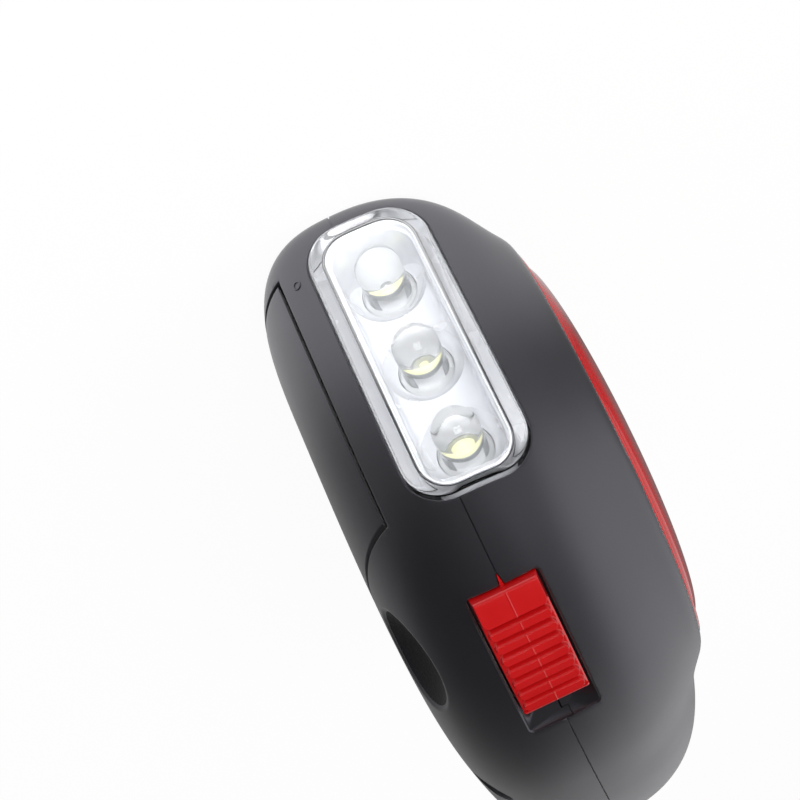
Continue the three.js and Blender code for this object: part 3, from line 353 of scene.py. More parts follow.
KNOB_Y = CRANK_Y - KNOB_REACH
CRANK_AXIS = (CRANK_Y, CRANK_Z)
HINGE_AXIS = (HINGE_X, HINGE_Y)
KNOB_AXIS = (KNOB_Y, CRANK_Z)
KNOB_WELL_AXIS = (KNOB_Y - KNOB_SWING, CRANK_Z)
KNOB_START_X = HANDLE_INNER_X + SNUG
KNOB_END_X = KNOB_START_X + KNOB_LENGTH
KNOB_WELL_X = KNOB_END_X + SEAT
ROTOR_RADIUS = RING_RADIUS - RING_WIDTH - DISC_GAP
DISC_BACK_X = RIM_X + RING_THICKNESS - DISC_SEAT_GAP
DRUM_END_X = WELL_FLOOR_X - DISC_GAP

# Where the case screws sit, along and up
CASE_SCREWS = [
    [CROWN_Y - WALL, HEIGHT - WALL - CASE_BOSS - SNUG],
    [HALF_LENGTH - TOP_SCREW_BACK, HEIGHT - TOP_SCREW_DOWN],
    [HALF_LENGTH - HEEL_LENGTH + WALL * 2, WALL + CASE_BOSS + SNUG],
    [COVER_BACK + COVER_CORNER + CASE_BOSS, WALL + CASE_BOSS + SNUG],
]


# Making meshes

def added(made):
    bpy.context.scene.collection.objects.link(made)
    return made


def unit(vectors):
    return vectors / np.linalg.norm(vectors, axis=-1, keepdims=True)


# The dot product of each row of one array with the same row of the other, as a column
def dots(first, second):
    return (first * second).sum(axis=-1, keepdims=True)


# The angles of a rounding, from 0 to its whole turn
def bend(steps, turn=QUARTER):
    return [turn * i / steps for i in range(steps + 1)]


def mesh_object(name, places, faces):
    mesh = bpy.data.meshes.new(name)
    mesh.from_pydata([tuple(p) for p in np.asarray(places, float) * METRE], [], faces)
    mesh.validate()
    made = added(bpy.data.objects.new(name, mesh))
    face_out(made)
    return made


def face_out(made):
    shape = bmesh.new()
    shape.from_mesh(made.data)
    bmesh.ops.remove_doubles(shape, verts=shape.verts, dist=2e-7)
    bmesh.ops.recalc_face_normals(shape, faces=shape.faces)
    if shape.calc_volume(signed=True) < 0:
        bmesh.ops.reverse_faces(shape, faces=shape.faces)
    shape.to_mesh(made.data)
    shape.free()


def ring_faces(count, rings, looped=False):
    faces = []
    for level in range(rings if looped else rings - 1):
        near = level * count
        far = (level + 1) % rings * count
        for i in range(count):
            after = (i + 1) % count
            faces.append((near + i, near + after, far + after, far + i))
    return faces


# Skins rings of points with the same count: each ring joins the next, and the ends are capped
def lofted(name, rings, capped=True, looped=False):
    count = len(rings[0])
    faces = ring_faces(count, len(rings), looped)
    if capped and not looped:
        faces.append(tuple(reversed(range(count))))
        faces.append(tuple(range((len(rings) - 1) * count, len(rings) * count)))
    return mesh_object(name, np.vstack(rings), faces)


AXES = {"x": (1, 2, 0), "y": (0, 2, 1), "z": (0, 1, 2)}


# Points from pairs of coordinates square to an axis and their distance along it
def placed(axis, pairs, along):
    first, second, third = AXES[axis]
    out = np.zeros((len(pairs), 3))
    out[:, [first, second]] = pairs
    out[:, third] = along
    return out


def prism(name, axis, outline, start, end):
    return lofted(name, [placed(axis, outline, start), placed(axis, outline, end)])


# Pairs of a radius and a place that round the start of a shape (inward 1) or its end (inward -1)
def round_end(radius, along, edge, inward, steps=5):
    pairs = []
    for angle in bend(steps):
        pairs.append((radius - edge * (1 - math.cos(angle)), along + inward * edge * (1 - math.sin(angle))))
    return pairs if inward < 0 else pairs[::-1]


# A prism with rounded ends: outline(grow) gives as many points for each grow
def soft_prism(name, axis, outline, start, end, edge_start, edge_end):
    corners = round_end(0, start, edge_start, 1) + round_end(0, end, edge_end, -1)
    return lofted(name, [placed(axis, outline(grow), along) for grow, along in corners])


def box(name, low, high):
    (x0, y0, z0), (x1, y1, z1) = low, high
    return prism(name, "z", [(x0, y0), (x1, y0), (x1, y1), (x0, y1)], z0, z1)


# A turned shape: profile holds (radius, distance along the axis); radius 0 closes it on the axis
def turned(name, axis, centre, profile, sides=ROUND, looped=False):
    angles = np.arange(sides) * 2 * math.pi / sides
    rings = []
    for radius, along in profile:
        pairs = np.column_stack((centre[0] + radius * np.cos(angles), centre[1] + radius * np.sin(angles)))
        rings.append(placed(axis, pairs, along))
    return lofted(name, rings, capped=not looped, looped=looped)


# A profile that starts at a place along the axis
def stepped(start, pairs):
    return [(radius, start + along) for radius, along in pairs]


def rod(name, axis, centre, radius, start, end, sides=ROUND):
    return turned(name, axis, centre, [(radius, start), (radius, end)], sides)


def arc(centre, radius, start, end, steps):
    angles = np.radians(np.linspace(start, end, steps + 1))
    return [(centre[0] + radius * math.cos(a), centre[1] + radius * math.sin(a)) for a in angles]


# A rounded rectangle whose straight sides are divided too, so that it can lie on a curved surface
def rounded_loop(low, high, corner, corner_steps=10, side_steps=12):
    (left, bottom), (right, top) = low, high
    radius = max(min(corner, (right - left) / 2, (top - bottom) / 2), 0)
    ends = [(right - radius, top - radius), (left + radius, top - radius),
            (left + radius, bottom + radius), (right - radius, bottom + radius)]
    corners = [arc(end, radius, 90 * i, 90 * i + 90, corner_steps) for i, end in enumerate(ends)]
    points = []
    for i, corner_points in enumerate(corners):
        points.extend(corner_points)
        start = np.array(corner_points[-1])
        end = np.array(corners[(i + 1) % 4][0])
        points.extend(tuple(start + (end - start) * k / side_steps) for k in range(1, side_steps))
    return points


def combined(target, tools, operation):
    for tool in tools:
        step = target.modifiers.new(operation, "BOOLEAN")
        step.operation = operation
        step.object = tool
        step.solver = "MANIFOLD"
    graph = bpy.context.evaluated_depsgraph_get()
    mesh = bpy.data.meshes.new_from_object(target.evaluated_get(graph))
    target.modifiers.clear()
    target.data = mesh
    for tool in tools:
        bpy.data.objects.remove(tool)
    return target


def cut(target, *tools):
    return combined(target, tools, "DIFFERENCE")


def joined(target, *tools):
    return combined(target, tools, "UNION")


def common(target, *tools):
    return combined(target, tools, "INTERSECT")


def copy_of(made, name):
    twin = made.copy()
    twin.data = made.data.copy()
    twin.name = name
    twin.parent = None
    return added(twin)


# Body surface

def superellipse_quarter(power, steps):
    angles = np.linspace(0, math.pi / 2, steps, endpoint=False)
    cosine = np.cos(angles)
    sine = np.sin(angles)
    radius = (cosine ** power + sine ** power) ** (-1 / power)
    return radius * cosine, radius * sine


# The side outline as four superellipse quarters, drawn in by inset, resampled to an even spacing
def side_outline(inset, count):
    foot = inset + BELLY_TRIM if inset > 0 else 0
    quarters = [
        (CHIN_Y, NOSE_HEIGHT, inset - NOSE_UNDERCUT, foot - NOSE_HEIGHT - BELLY_TRIM, CHIN_POWER, False),
        (CROWN_Y, NOSE_HEIGHT, -(NOSE_ARCH - inset), HEIGHT - NOSE_HEIGHT - inset, CROWN_POWER, True),
        (CROWN_Y, TAIL_HEIGHT, HALF_LENGTH - CROWN_Y - inset, HEIGHT - TAIL_HEIGHT - inset, BACK_POWER,
         False),
        (HEEL_Y, TAIL_HEIGHT, HEEL_LENGTH - inset, -(TAIL_HEIGHT + BELLY_TRIM - foot), HEEL_POWER, True),
    ]
    parts = []
    for y, z, reach, rise, power, from_side in quarters:
        along, up = superellipse_quarter(power, OUTLINE_STEPS)
        if not from_side:
            along, up = up, along
        parts.append(np.column_stack((y + reach * along, z + rise * up)))
    points = np.vstack(parts)
    closed = np.vstack((points, points[:1]))
    steps = np.hypot(*np.diff(closed, axis=0).T)
    length = np.concatenate(([0], np.cumsum(steps)))
    wanted = np.arange(count) * length[-1] / count
    return np.column_stack([np.interp(wanted, length, closed[:, k]) for k in (0, 1)])


# The side outline's reach from a half's centre, by angle
def radius_table(half):
    points = side_outline(0, 10 * OUTLINE_STEPS)
    dy = points[:, 0] - half["centre_y"]
    dz = points[:, 1] - BULGE_Z
    angles = np.arctan2(dz, dy)
    order = np.argsort(angles)
    angles = angles[order]
    radii = np.hypot(dy, dz)[order]
    turn = 2 * math.pi
    half["angles"] = np.concatenate((angles[-5:] - turn, angles, angles[:5] + turn))
    half["radii"] = np.concatenate((radii[-5:], radii, radii[:5]))


for half in (LEFT, RIGHT):
    radius_table(half)


def half_field(points, half):
    dy = points[:, 1] - half["centre_y"]
    dz = points[:, 2] - BULGE_Z
    reach = np.interp(np.arctan2(dz, dy), half["angles"], half["radii"])
    share = np.hypot(dy, dz) / reach
    out = np.maximum(half["side"] * (points[:, 0] - SEAM_X), 0) / half["bulge"]
    return share ** half["edge_power"] + out ** half["flank_power"] - 1


# The lesser of two values, with a smooth change from one to the other over a width
def blended_least(first, second, width):
    near = np.clip(1 - np.abs(first - second) / width, 0, 1)
    return np.minimum(first, second) - near ** 3 * width / 6


# The right half swells smoothly into a low collar round the crank ring
def swollen(points, flank):
    front = RIM_X + BOSS_FRONT
    foot_x = RIM_X + RING_THICKNESS + WALL * 3
    top = RING_RADIUS + BOSS_LIP
    foot = RING_RADIUS + BOSS_WALL + BOSS_FLARE
    share = (points[:, 0] - front) / (foot_x - front)
    away = np.hypot(points[:, 1] - CRANK_Y, points[:, 2] - CRANK_Z)
    cone = away - top - (foot - top) * share
    collar = -blended_least(-cone, foot_x - points[:, 0], BOSS_BLEND)
    both = blended_least(flank / FIELD_PER_MM, collar, BOSS_BLEND)
    return -blended_least(-both, points[:, 0] - front, BOSS_ROUND) * FIELD_PER_MM


# Below zero inside the body, above zero outside
def body_field(points):
    right = swollen(points, half_field(points, RIGHT))
    return np.where(points[:, 0] >= SEAM_X, half_field(points, LEFT), right)


def body_normals(points):
    step = 0.02
    slopes = []
    for axis in range(3):
        shift = np.zeros(3)
        shift[axis] = step
        slopes.append(body_field(points + shift) - body_field(points - shift))
    return unit(np.column_stack(slopes))


# Halves the way between outside and inside values until their place meets the body surface
def on_body(outside, inside, place=lambda values: values):
    outside = np.array(outside, float)
    inside = np.array(inside, float)
    for _ in range(HALVINGS):
        middle = (outside + inside) / 2
        out = body_field(place(middle)) > 0
        outside[out] = middle[out]
        inside[~out] = middle[~out]
    return place((outside + inside) / 2)


def onto_flank(pairs):
    return on_body(placed("x", pairs, SEAM_X + BEYOND), placed("x", pairs, SEAM_X + SEAM_CLEAR))


def onto_nose(pairs):
    return on_body(placed("y", pairs, NOSE_FRONT), placed("y", pairs, NOSE_INSIDE))


def front_at(x, z):
    return onto_nose([[x, z]])[0][1]


# How far the body reaches from its middle line, as a share of the side outline, at a share of the way out
def share_at(out, half):
    return np.maximum(1 - out ** half["flank_power"], 0) ** (1 / half["edge_power"])


# One half of the body, drawn in by inset, from its seam face to a peak, with layers at an even spacing
def half_body(name, half, inset, count=COARSE_POINTS, layers=COARSE_LAYERS, seam_face=-1, seam_edge=0):
    side = half["side"]
    outline = side_outline(inset, count)
    bulge = half["bulge"] - inset
    centre = np.array([half["centre_y"], BULGE_Z])
    offsets = outline - centre
    reach = np.hypot(*offsets.T)
    dense_out = np.linspace(0, 1, 10 * PEAK_STEPS + 1) ** LAYER_POWER
    dense_out[-PEAK_STEPS:] = np.linspace(dense_out[-PEAK_STEPS], 1, PEAK_STEPS)
    lengths = np.hypot(np.diff(dense_out) * bulge, np.diff(share_at(dense_out, half)) * MEAN_REACH)
    length = np.concatenate(([0], np.cumsum(lengths)))
    start = np.interp((seam_face + seam_edge) / bulge, dense_out, length)
    wanted = start + (length[-1] - start) * np.linspace(0, 1, layers + 1)[:-1]
    outs = np.interp(wanted, length, dense_out)
    shares = share_at(outs, half)
    rings = []
    if seam_edge > 0:
        for angle in bend(SEAM_STEPS)[:-1]:
            inward = seam_edge * (1 - math.sin(angle))
            x = SEAM_X + side * (seam_face + seam_edge * (1 - math.cos(angle)))
            scale = shares[0] - inward / reach
            rings.append(placed("x", centre + offsets * scale[:, None], x))
    for out, share in zip(outs, shares):
        rings.append(placed("x", centre + offsets * share, SEAM_X + side * bulge * out))
    peak = len(rings) * count
    places = np.vstack(rings + [[[SEAM_X + side * bulge, centre[0], centre[1]]]])
    if side < 0 and inset == 0:
        skin = places[SEAM_STEPS * count:]
        spokes = unit(skin - [SEAM_X, centre[0], centre[1]])
        places[SEAM_STEPS * count:] = on_body(skin + spokes * SEARCH_OUT, skin - spokes * SEARCH_IN)
    faces = [tuple(range(count))] + ring_faces(count, len(rings))
    last = peak - count
    faces.extend((last + i, last + (i + 1) % count, peak) for i in range(count))
    return mesh_object(name, places, faces)


# Rounds the edge that runs along points: across points from the edge into the material along one face, down
# along the other. The tool is a rod with the section left over between the corner and the arc.
def edge_tool(points, across, down, size, closed=True):
    across = unit(across)
    down = unit(down)
    half_angle = np.arccos(np.clip(dots(across, down), -NEAR_PARALLEL, NEAR_PARALLEL)) / 2
    centre = points + unit(across + down) * (size * np.tan(half_angle) / np.sin(half_angle))
    from_across = points + across * size - centre
    from_down = points + down * size - centre
    sweep = math.pi - 2 * half_angle
    sections = []
    for i in range(EDGE_STEPS + 1):
        share = i / EDGE_STEPS
        first = np.sin((1 - share) * sweep) / np.sin(sweep)
        second = np.sin(share * sweep) / np.sin(sweep)
        sections.append(centre + from_across * first + from_down * second)
    sections.append(points + down * size - across * EDGE_CLEAR)
    sections.append(points - down * EDGE_CLEAR - across * EDGE_CLEAR)
    sections.append(points + across * size - down * EDGE_CLEAR)
    rings = np.stack(sections, axis=1)
    return lofted("edge_tool", list(rings), capped=not closed, looped=closed)


def along(points, closed=True):
    if closed:
        return unit(np.roll(points, -1, axis=0) - np.roll(points, 1, axis=0))
    return unit(np.gradient(points, axis=0))


# Across the edge, in the surface, away from a middle point of the opening
def outward(points, normals, middle, closed=True):
    across = np.cross(along(points, closed), normals)
    flip = np.sign(dots(across, points - middle))
    return across * np.where(flip == 0, 1, flip)


# Edge of an opening on the body whose walls run along wall_direction
def opening_edge(points, wall_direction, middle, size=EDGE, sign=1, closed=True):
    slope = along(points, closed)
    across = outward(points, body_normals(points), middle, closed) * sign
    down = np.tile(wall_direction, (len(points), 1))
    return edge_tool(points, across, down - slope * dots(down, slope), size, closed)


def places_of(mesh):
    places = np.empty(len(mesh.vertices) * 3)
    mesh.vertices.foreach_get("co", places)
    return places.reshape(-1, 3) / METRE


# Smooth up to an angle between faces
def shade(made, angle):
    made.data.shade_smooth()
    made.data.set_sharp_from_angle(angle=math.radians(angle))
    return made


# Smooth, and where a piece follows the body surface it gets that surface's exact normals
def shade_body(made):
    shade(made, BODY_SMOOTH)
    places = places_of(made.data)
    field = body_field(places)
    exact = body_normals(places)
    step = 0.01
    change = (body_field(places + exact * step) - field) / step
    distance = np.abs(field / np.maximum(change, 1e-4))
    set_exact_normals(made.data, distance < ON_SKIN, exact)
    return made


# Gives the corners that lie on a known surface the normals of that surface
def set_exact_normals(mesh, near, exact):
    normals = np.array([tuple(n.vector) for n in mesh.corner_normals])
    corners = np.empty(len(mesh.loops), int)
    mesh.loops.foreach_get("vertex_index", corners)
    face_normals = np.zeros((len(mesh.loops), 3))
    for face in mesh.polygons:
        face_normals[face.loop_start:face.loop_start + face.loop_total] = face.normal
    alike = (face_normals * exact[corners]).sum(axis=1) > math.cos(math.radians(SAME_SIDE))
    wanted = near[corners] & alike
    normals[wanted] = exact[corners][wanted]
    mesh.normals_split_custom_set([tuple(n) for n in normals])


# Outlines

def lens_loop(grow, side_wall=0, end_wall=0):
    half = LENS_WIDTH / 2 - side_wall + grow
    low = (-half, LENS_BOTTOM + end_wall - grow)
    high = (half, LENS_BOTTOM + LENS_HEIGHT - end_wall + grow)
    return rounded_loop(low, high, LENS_CORNER - end_wall + grow, side_steps=LOOP_STEPS)


def lens_inside(grow):
    return lens_loop(grow, LENS_SIDE_WALL, LENS_WALL)


# The lens sits high in its opening, so the gap round it is widest at the low end
def lens_opening():
    half = LENS_WIDTH / 2 + LENS_GAP
    low = (-half, LENS_BOTTOM - LENS_LOW_GAP)
    high = (half, LENS_BOTTOM + LENS_HEIGHT + LENS_GAP)
    return rounded_loop(low, high, LENS_CORNER + LENS_GAP, side_steps=LOOP_STEPS)


def cover_loop(grow):
    low = (NOSE_FRONT, COVER_BOTTOM - grow)
    high = (COVER_BACK + grow, COVER_TOP + grow)
    return rounded_loop(low, high, COVER_CORNER + grow)


def handle_loop(grow):
    half = HANDLE_WIDTH / 2 + grow
    root = HINGE_Y - NECK_LENGTH + grow
    points = [(root, CRANK_Z - half), (root, CRANK_Z + half)]
    return points + arc((KNOB_Y, CRANK_Z), half, 90, 270, 40)


def slope_frame():
    share = np.array([SWITCH_FRONT_SHARE, SWITCH_BACK_SHARE])
    z = NOSE_HEIGHT + share * (HEIGHT - NOSE_HEIGHT)
    y = NOSE_ARCH * (1 - (1 - share ** CROWN_POWER) ** (1 / CROWN_POWER)) - HALF_LENGTH
    start = np.array([SEAM_X, y[0], z[0]])
    up = unit(np.array([0, y[1] - y[0], z[1] - z[0]]))
    out = np.array([0, -up[2], up[1]])
    return start, up, out


SLOPE_START, SLOPE_UP, SLOPE_OUT = slope_frame()


# Slope coordinates: across is along x, up runs up the slope, out stands square to it
def from_slope(points):
    return SLOPE_START + np.asarray(points, float) @ np.array([[1, 0, 0], SLOPE_UP, SLOPE_OUT])


def onto_slope(pairs):
    return on_body(from_slope(placed("z", pairs, ABOVE_SLOPE)), from_slope(placed("z", pairs, BELOW_SLOPE)))


def slope_height(pairs):
    return (onto_slope(pairs) - SLOPE_START) @ SLOPE_OUT


# Pieces

def shell_skin(name, half):
    outer = half_body(name, half, 0, OUTLINE_POINTS, LAYERS, SKIN_GAP / 2, SEAM_EDGE)
    belly = box("belly", (-FAR, -FAR, -FAR), (FAR, FAR, 0))
    inner = half_body("inner", half, SKIN)
    return cut(outer, belly, inner)


def shell_core(node, half):
    core = copy_of(frame["nodes"][node], node + "_core")
    face_out(core)
    return common(core, half_body("within", half, CORE_INSET))


def slot_loop():
    half = SWITCH_WIDTH / 2 + 2 * SNUG
    high = SWITCH_LENGTH + SWITCH_TRAVEL + SNUG
    return rounded_loop((-half, -SNUG), (half, high), SLOT_CORNER, 6, 10)


def slope_prism(name, outline, low, high):
    return lofted(name, [from_slope(placed("z", outline, level)) for level in (low, high)])


def scoop_ball():
    spot = onto_flank([[SCOOP_Y, SCOOP_Z]])
    normal = body_normals(spot)[0]
    radius = (SCOOP_RADIUS ** 2 + SCOOP_DEPTH ** 2) / (2 * SCOOP_DEPTH)
    return spot[0] + normal * (radius - SCOOP_DEPTH), normal, radius


def ball(name, centre, radius, sides=200, levels=120):
    angles = np.linspace(0, math.pi, levels + 1)[1:-1]
    turn = np.arange(sides) * 2 * math.pi / sides
    rings = []
    for angle in angles:
        pairs = math.sin(angle) * np.column_stack((np.cos(turn), np.sin(turn)))
        rings.append(centre + radius * placed("x", pairs, math.cos(angle)))
    return lofted(name, rings)


# A thin textured lining on the floor of the scoop
def make_scoop_lining():
    centre, normal, radius = scoop_ball()
    lining = half_body("scoop_lining", LEFT, SCOOP_EDGE, OUTLINE_POINTS, LAYERS)
    common(lining, ball("lining_room", centre, radius + LINING / 2))
    cut(lining, ball("lining_face", centre, radius - LINING / 2))
    return shade(lining, SOFTER)


# Directions all round a normal, square to it
def spokes_round(normal, count):
    turn = np.linspace(0, 2 * math.pi, count + 1)[:-1, None]
    first = unit(np.cross(normal, [0, 0, 1]))
    return np.cos(turn) * first + np.sin(turn) * np.cross(normal, first)


def scoop_rim(centre, normal, radius):
    around = spokes_round(normal, RIM_POINTS)

    def on_ball(angles):
        return centre + radius * (np.sin(angles) * around - np.cos(angles) * normal)

    return on_body(np.full((RIM_POINTS, 1), QUARTER), np.zeros((RIM_POINTS, 1)), on_ball)


def scoop_edge(centre, normal, radius):
    points = scoop_rim(centre, normal, radius)
    normals = body_normals(points)
    across = outward(points, normals, points.mean(axis=0))
    down = np.cross(along(points), points - centre)
    return edge_tool(points, across, down * np.sign(dots(down, -normals)), SCOOP_ROUND)


# The edges round the cover opening, for the shell (sign 1) or for the cover (sign -1)
def cover_edges(grow, plane_x, sign):
    start_z, end_z = COVER_BOTTOM - grow, COVER_TOP + grow
    middle = onto_flank([[COVER_MIDDLE_Y, CELL_Z]])[0]
    back = COVER_BACK + grow
    corner = COVER_CORNER + grow
    turn = back - corner
    past = COVER_PAST if sign < 0 else SHELL_PAST
    path = [(y, end_z) for y in np.linspace(front_at(plane_x, end_z) - past, turn, SIDE_POINTS)]
    path.extend(arc((turn, end_z - corner), corner, 90, 0, LOOP_STEPS)[1:])
    path.extend((back, z) for z in np.linspace(end_z - corner, start_z + corner, BACK_POINTS)[1:-1])
    path.extend(arc((turn, start_z + corner), corner, 0, -90, LOOP_STEPS))
    path.extend((y, start_z) for y in np.linspace(turn, front_at(plane_x, start_z) - past, SIDE_POINTS)[1:])
    rim = opening_edge(onto_flank(path), (-1, 0, 0), middle, EDGE, sign, closed=False)
    levels = np.linspace(start_z - past, end_z + past, SIDE_POINTS)
    front = np.array([(plane_x, front_at(plane_x, z), z) for z in levels])
    slope = along(front, closed=False)
    across = np.cross(slope, body_normals(front))
    down = np.cross(slope, [1, 0, 0])
    across = across * np.sign(across[:, :1] * -sign)
    down = down * np.sign(down[:, 1:2])
    return [rim, edge_tool(front, across, down, EDGE, closed=False)]


def screw_wells():
    tools = []
    seat_x = SCREW_SINK_X - SCREW_HEAD - SNUG
    radius = SCREW_HEAD_RADIUS + SEAT
    for centre in CASE_SCREWS:
        tools.append(rod("well", "x", centre, radius, seat_x, FAR, SMALL_ROUND))
        rim = onto_flank(arc(centre, radius, 0, 354, 59))
        tools.append(opening_edge(rim, (-1, 0, 0), rim.mean(axis=0), EDGE))
    return tools


def tail_outline(half, foot, above, below):
    return [(-half, above), (half, above), (foot, below), (-foot, below)]


# Where the switch's thin tail lies in the seam
def tail_notch():
    return slope_prism("notch", tail_outline(*NOTCH_SHAPE), -NOTCH_DEPTH, SLOT_TOP)


# The cuts of both shells, for the lens and for the switch
def common_cuts():
    slot_rim = onto_slope(slot_loop())
    lens_rim = onto_nose(lens_opening())
    return [
        prism("lens_opening", "y", lens_opening(), NOSE_FRONT, LENS_BACK_Y),
        slope_prism("slot", slot_loop(), -SWITCH_SINK, SLOT_TOP),
        opening_edge(lens_rim, (0, 1, 0), lens_rim.mean(axis=0), EDGE),
        opening_edge(slot_rim, -SLOPE_OUT, slot_rim.mean(axis=0), EDGE),
    ]


def outline_within(inset):
    points = side_outline(0, OUTLINE_POINTS)
    slope = along(points)
    inward = np.column_stack((-slope[:, 1], slope[:, 0]))
    side = np.sign((inward * (points.mean(axis=0) - points)).sum(axis=1))
    return points + inward * (inset * side)[:, None]


# A tongue on the left half that lies in a groove of the right half and keeps light out of the seam
def seam_band(name, inset, thickness, reach):
    start, end = SEAM_X - reach, SEAM_X + reach
    band = prism(name, "x", outline_within(inset), start, end)
    return cut(band, prism("band_room", "x", outline_within(inset + thickness), -FAR, FAR))


def make_left_shell():
    shell = shell_skin("shell_left_dressed", LEFT)
    joined(shell, shell_core("shell_left", LEFT))
    tongue = seam_band("tongue", TONGUE_INSET, TONGUE_THICKNESS, TONGUE_REACH)
    joined(shell, cut(tongue, box("belly", (-FAR, -FAR, -FAR), (FAR, FAR, TONGUE_INSET))))
    centre, normal, radius = scoop_ball()
    cut(shell, *common_cuts(), *screw_wells(), *cover_edges(0, LEDGE_X, 1), tail_notch(),
        prism("cover_opening", "x", cover_loop(0), LEDGE_X, FAR), ball("scoop", centre, radius),
        scoop_edge(centre, normal, radius), rod("bay", "x", CELL_AXIS, BAY_RADIUS, SEAM_X, FAR))
    return shade_body(shell)


def make_right_shell():
    shell = shell_skin("shell_right_dressed", RIGHT)
    joined(shell, shell_core("shell_right", RIGHT))
    gap = SNUG / 2
    cut(shell, *common_cuts(), tail_notch(),
        seam_band("groove", TONGUE_INSET - gap, TONGUE_THICKNESS + 2 * gap, TONGUE_REACH + gap),
        rod("ring_seat", "x", CRANK_AXIS, RING_RADIUS + SNUG, -FAR, RIM_X + RING_THICKNESS),
        rod("well", "x", CRANK_AXIS, DRUM_RADIUS + SEAT, -FAR, WELL_FLOOR_X),
        rod("bush_hole", "x", CRANK_AXIS, BUSH_RADIUS, -FAR, SEAM_X, SMALL_ROUND))
    return shade_body(shell)


def make_cover():
    outer = half_body("battery_cover_dressed", LEFT, 0, OUTLINE_POINTS, LAYERS, SEAM_GAP / 2)
    common(outer, prism("cover_form", "x", cover_loop(-COVER_GAP), COVER_X, FAR))
    pad_end = CELL_TOP_X + 2 * CONTACT
    hollow = half_body("hollow", LEFT, WALL)
    common(hollow, prism("hollow_form", "x", cover_loop(-WALL), 0, FAR))
    cut(hollow, rod("pad", "x", CELL_AXIS, PAD_RADIUS, pad_end - OVERRUN, FAR))
    cut(outer, hollow)
    joined(outer, rod("foot", "x", CELL_AXIS, PAD_RADIUS, pad_end, COVER_X + WALL))
    cut(outer, *cover_edges(-COVER_GAP, COVER_X, -1))
    return shade_body(outer)


# Rings on a lens outline: each is grown and set behind the surface of the nose
def nose_rings(outline, steps):
    loops = [(outline(grow), behind) for grow, behind in steps]
    return [placed("y", loop, onto_nose(loop)[:, 1] + behind) for loop, behind in loops]


# From the back of a lens outline over its rounded front edge to its middle line
def lens_rings(outline, front, edge, reach, count):
    steps = round_end(0, front, edge, 1, LENS_EDGE_STEPS)[::-1]
    steps += [(-inward, front) for inward in np.linspace(edge, reach, count)[1:]]
    return [placed("y", outline(0), LENS_BACK_Y)] + nose_rings(outline, steps)


# The lens is one closed skin of two runs, outer and inner, that share the edge at the back
def make_lens():
    half = LENS_WIDTH / 2
    outer = lens_rings(lens_loop, -LENS_PROUD, LENS_EDGE, half, 10)
    inner = lens_rings(lens_inside, LENS_WALL - LENS_PROUD, LENS_INNER_EDGE, half - LENS_SIDE_WALL, 9)
    return shade(lofted("lens_dressed", outer[::-1] + inner, capped=False), SOFTER)


def lamp_heights():
    return [LAMP_MIDDLE_Z + step * LAMP_PITCH for step in (-1, 0, 1)]


# An open tray with a rounded lip, a rim that carries the lens, and a cup and a hole for each lamp
def make_reflector():
    front = LENS_WALL - LENS_PROUD + REFLECTOR_SETBACK
    half = REFLECTOR_WALL / 2
    lip = [(-SNUG - half * (1 - math.cos(a)), front - half * math.sin(a)) for a in bend(10, math.pi)]
    rings = [placed("y", lens_inside(-SNUG), LAMP_BACK_Y)] + nose_rings(lens_inside, lip)
    inside = -SNUG - REFLECTOR_WALL
    lip_y = onto_nose(lens_inside(inside))[:, 1] + front
    for step, drop in ((0, 0), (0, TRAY_LIP - TRAY_STEP), (TRAY_STEP, TRAY_LIP)):
        rings.append(placed("y", lens_inside(inside - step), lip_y + drop))
    inside -= TRAY_STEP
    cup_y = LAMP_BACK_Y - REFLECTOR_FLOOR
    floor_y = cup_y - TRAY_CUP_DEPTH
    for grow, y in round_end(inside, floor_y, TRAY_CORNER, -1):
        rings.append(placed("y", lens_inside(grow), y))
    tray = lofted("reflector_dressed", rings)
    rim = prism("rim", "y", lens_loop(0), LENS_BACK_Y + SNUG, LENS_BACK_Y + SNUG + REFLECTOR_RIM)
    joined(tray, cut(rim, prism("rim_hole", "y", lens_inside(-SNUG - half), NOSE_FRONT, 0)))
    hole = LAMP_RADIUS + LAMP_RIM + SNUG
    cup = [(ON_AXIS, cup_y)]
    for share in np.linspace(0, 1, TRAY_CUP_STEPS + 1):
        radius = hole + (TRAY_CUP_RADIUS - hole) * share ** TRAY_CUP_POWER
        cup.append((radius, cup_y - TRAY_CUP_DEPTH * share))
    cup.extend([(TRAY_CUP_RADIUS, floor_y - 1), (ON_AXIS, floor_y - 1)])
    start = LAMP_BACK_Y - LAMP_FLANGE - SNUG
    for z in lamp_heights():
        room = prism("cup_room", "y", lens_inside(inside - CUP_CLEAR), NOSE_FRONT, 0)
        cut(tray, common(turned("lamp_cup", "y", (0, z), cup), room))
        cut(tray, rod("lamp_hole", "y", (0, z), hole, start, LAMP_BACK_Y + OVERRUN, SMALL_ROUND))
    return shade(tray, SOFT)


def lamp_resin_profile():
    tip = LAMP_BACK_Y - LAMP_LENGTH
    profile = [(max(LAMP_RADIUS * math.sin(angle), ON_AXIS), tip + LAMP_RADIUS * (1 - math.cos(angle)))
               for angle in bend(24)]
    edge = 0.12
    flange_y = LAMP_BACK_Y - LAMP_FLANGE
    rim = LAMP_RADIUS + LAMP_RIM
    return profile + [
        (LAMP_RADIUS, flange_y - edge), (LAMP_RADIUS + edge, flange_y), (rim - edge, flange_y),
        (rim, flange_y + edge), (rim, LAMP_BACK_Y - edge), (rim - edge, LAMP_BACK_Y), (ON_AXIS, LAMP_BACK_Y),
    ]


def make_lamp(name, z):
    return shade(turned(name, "y", (0, z), lamp_resin_profile(), SMALL_ROUND), SOFTER)


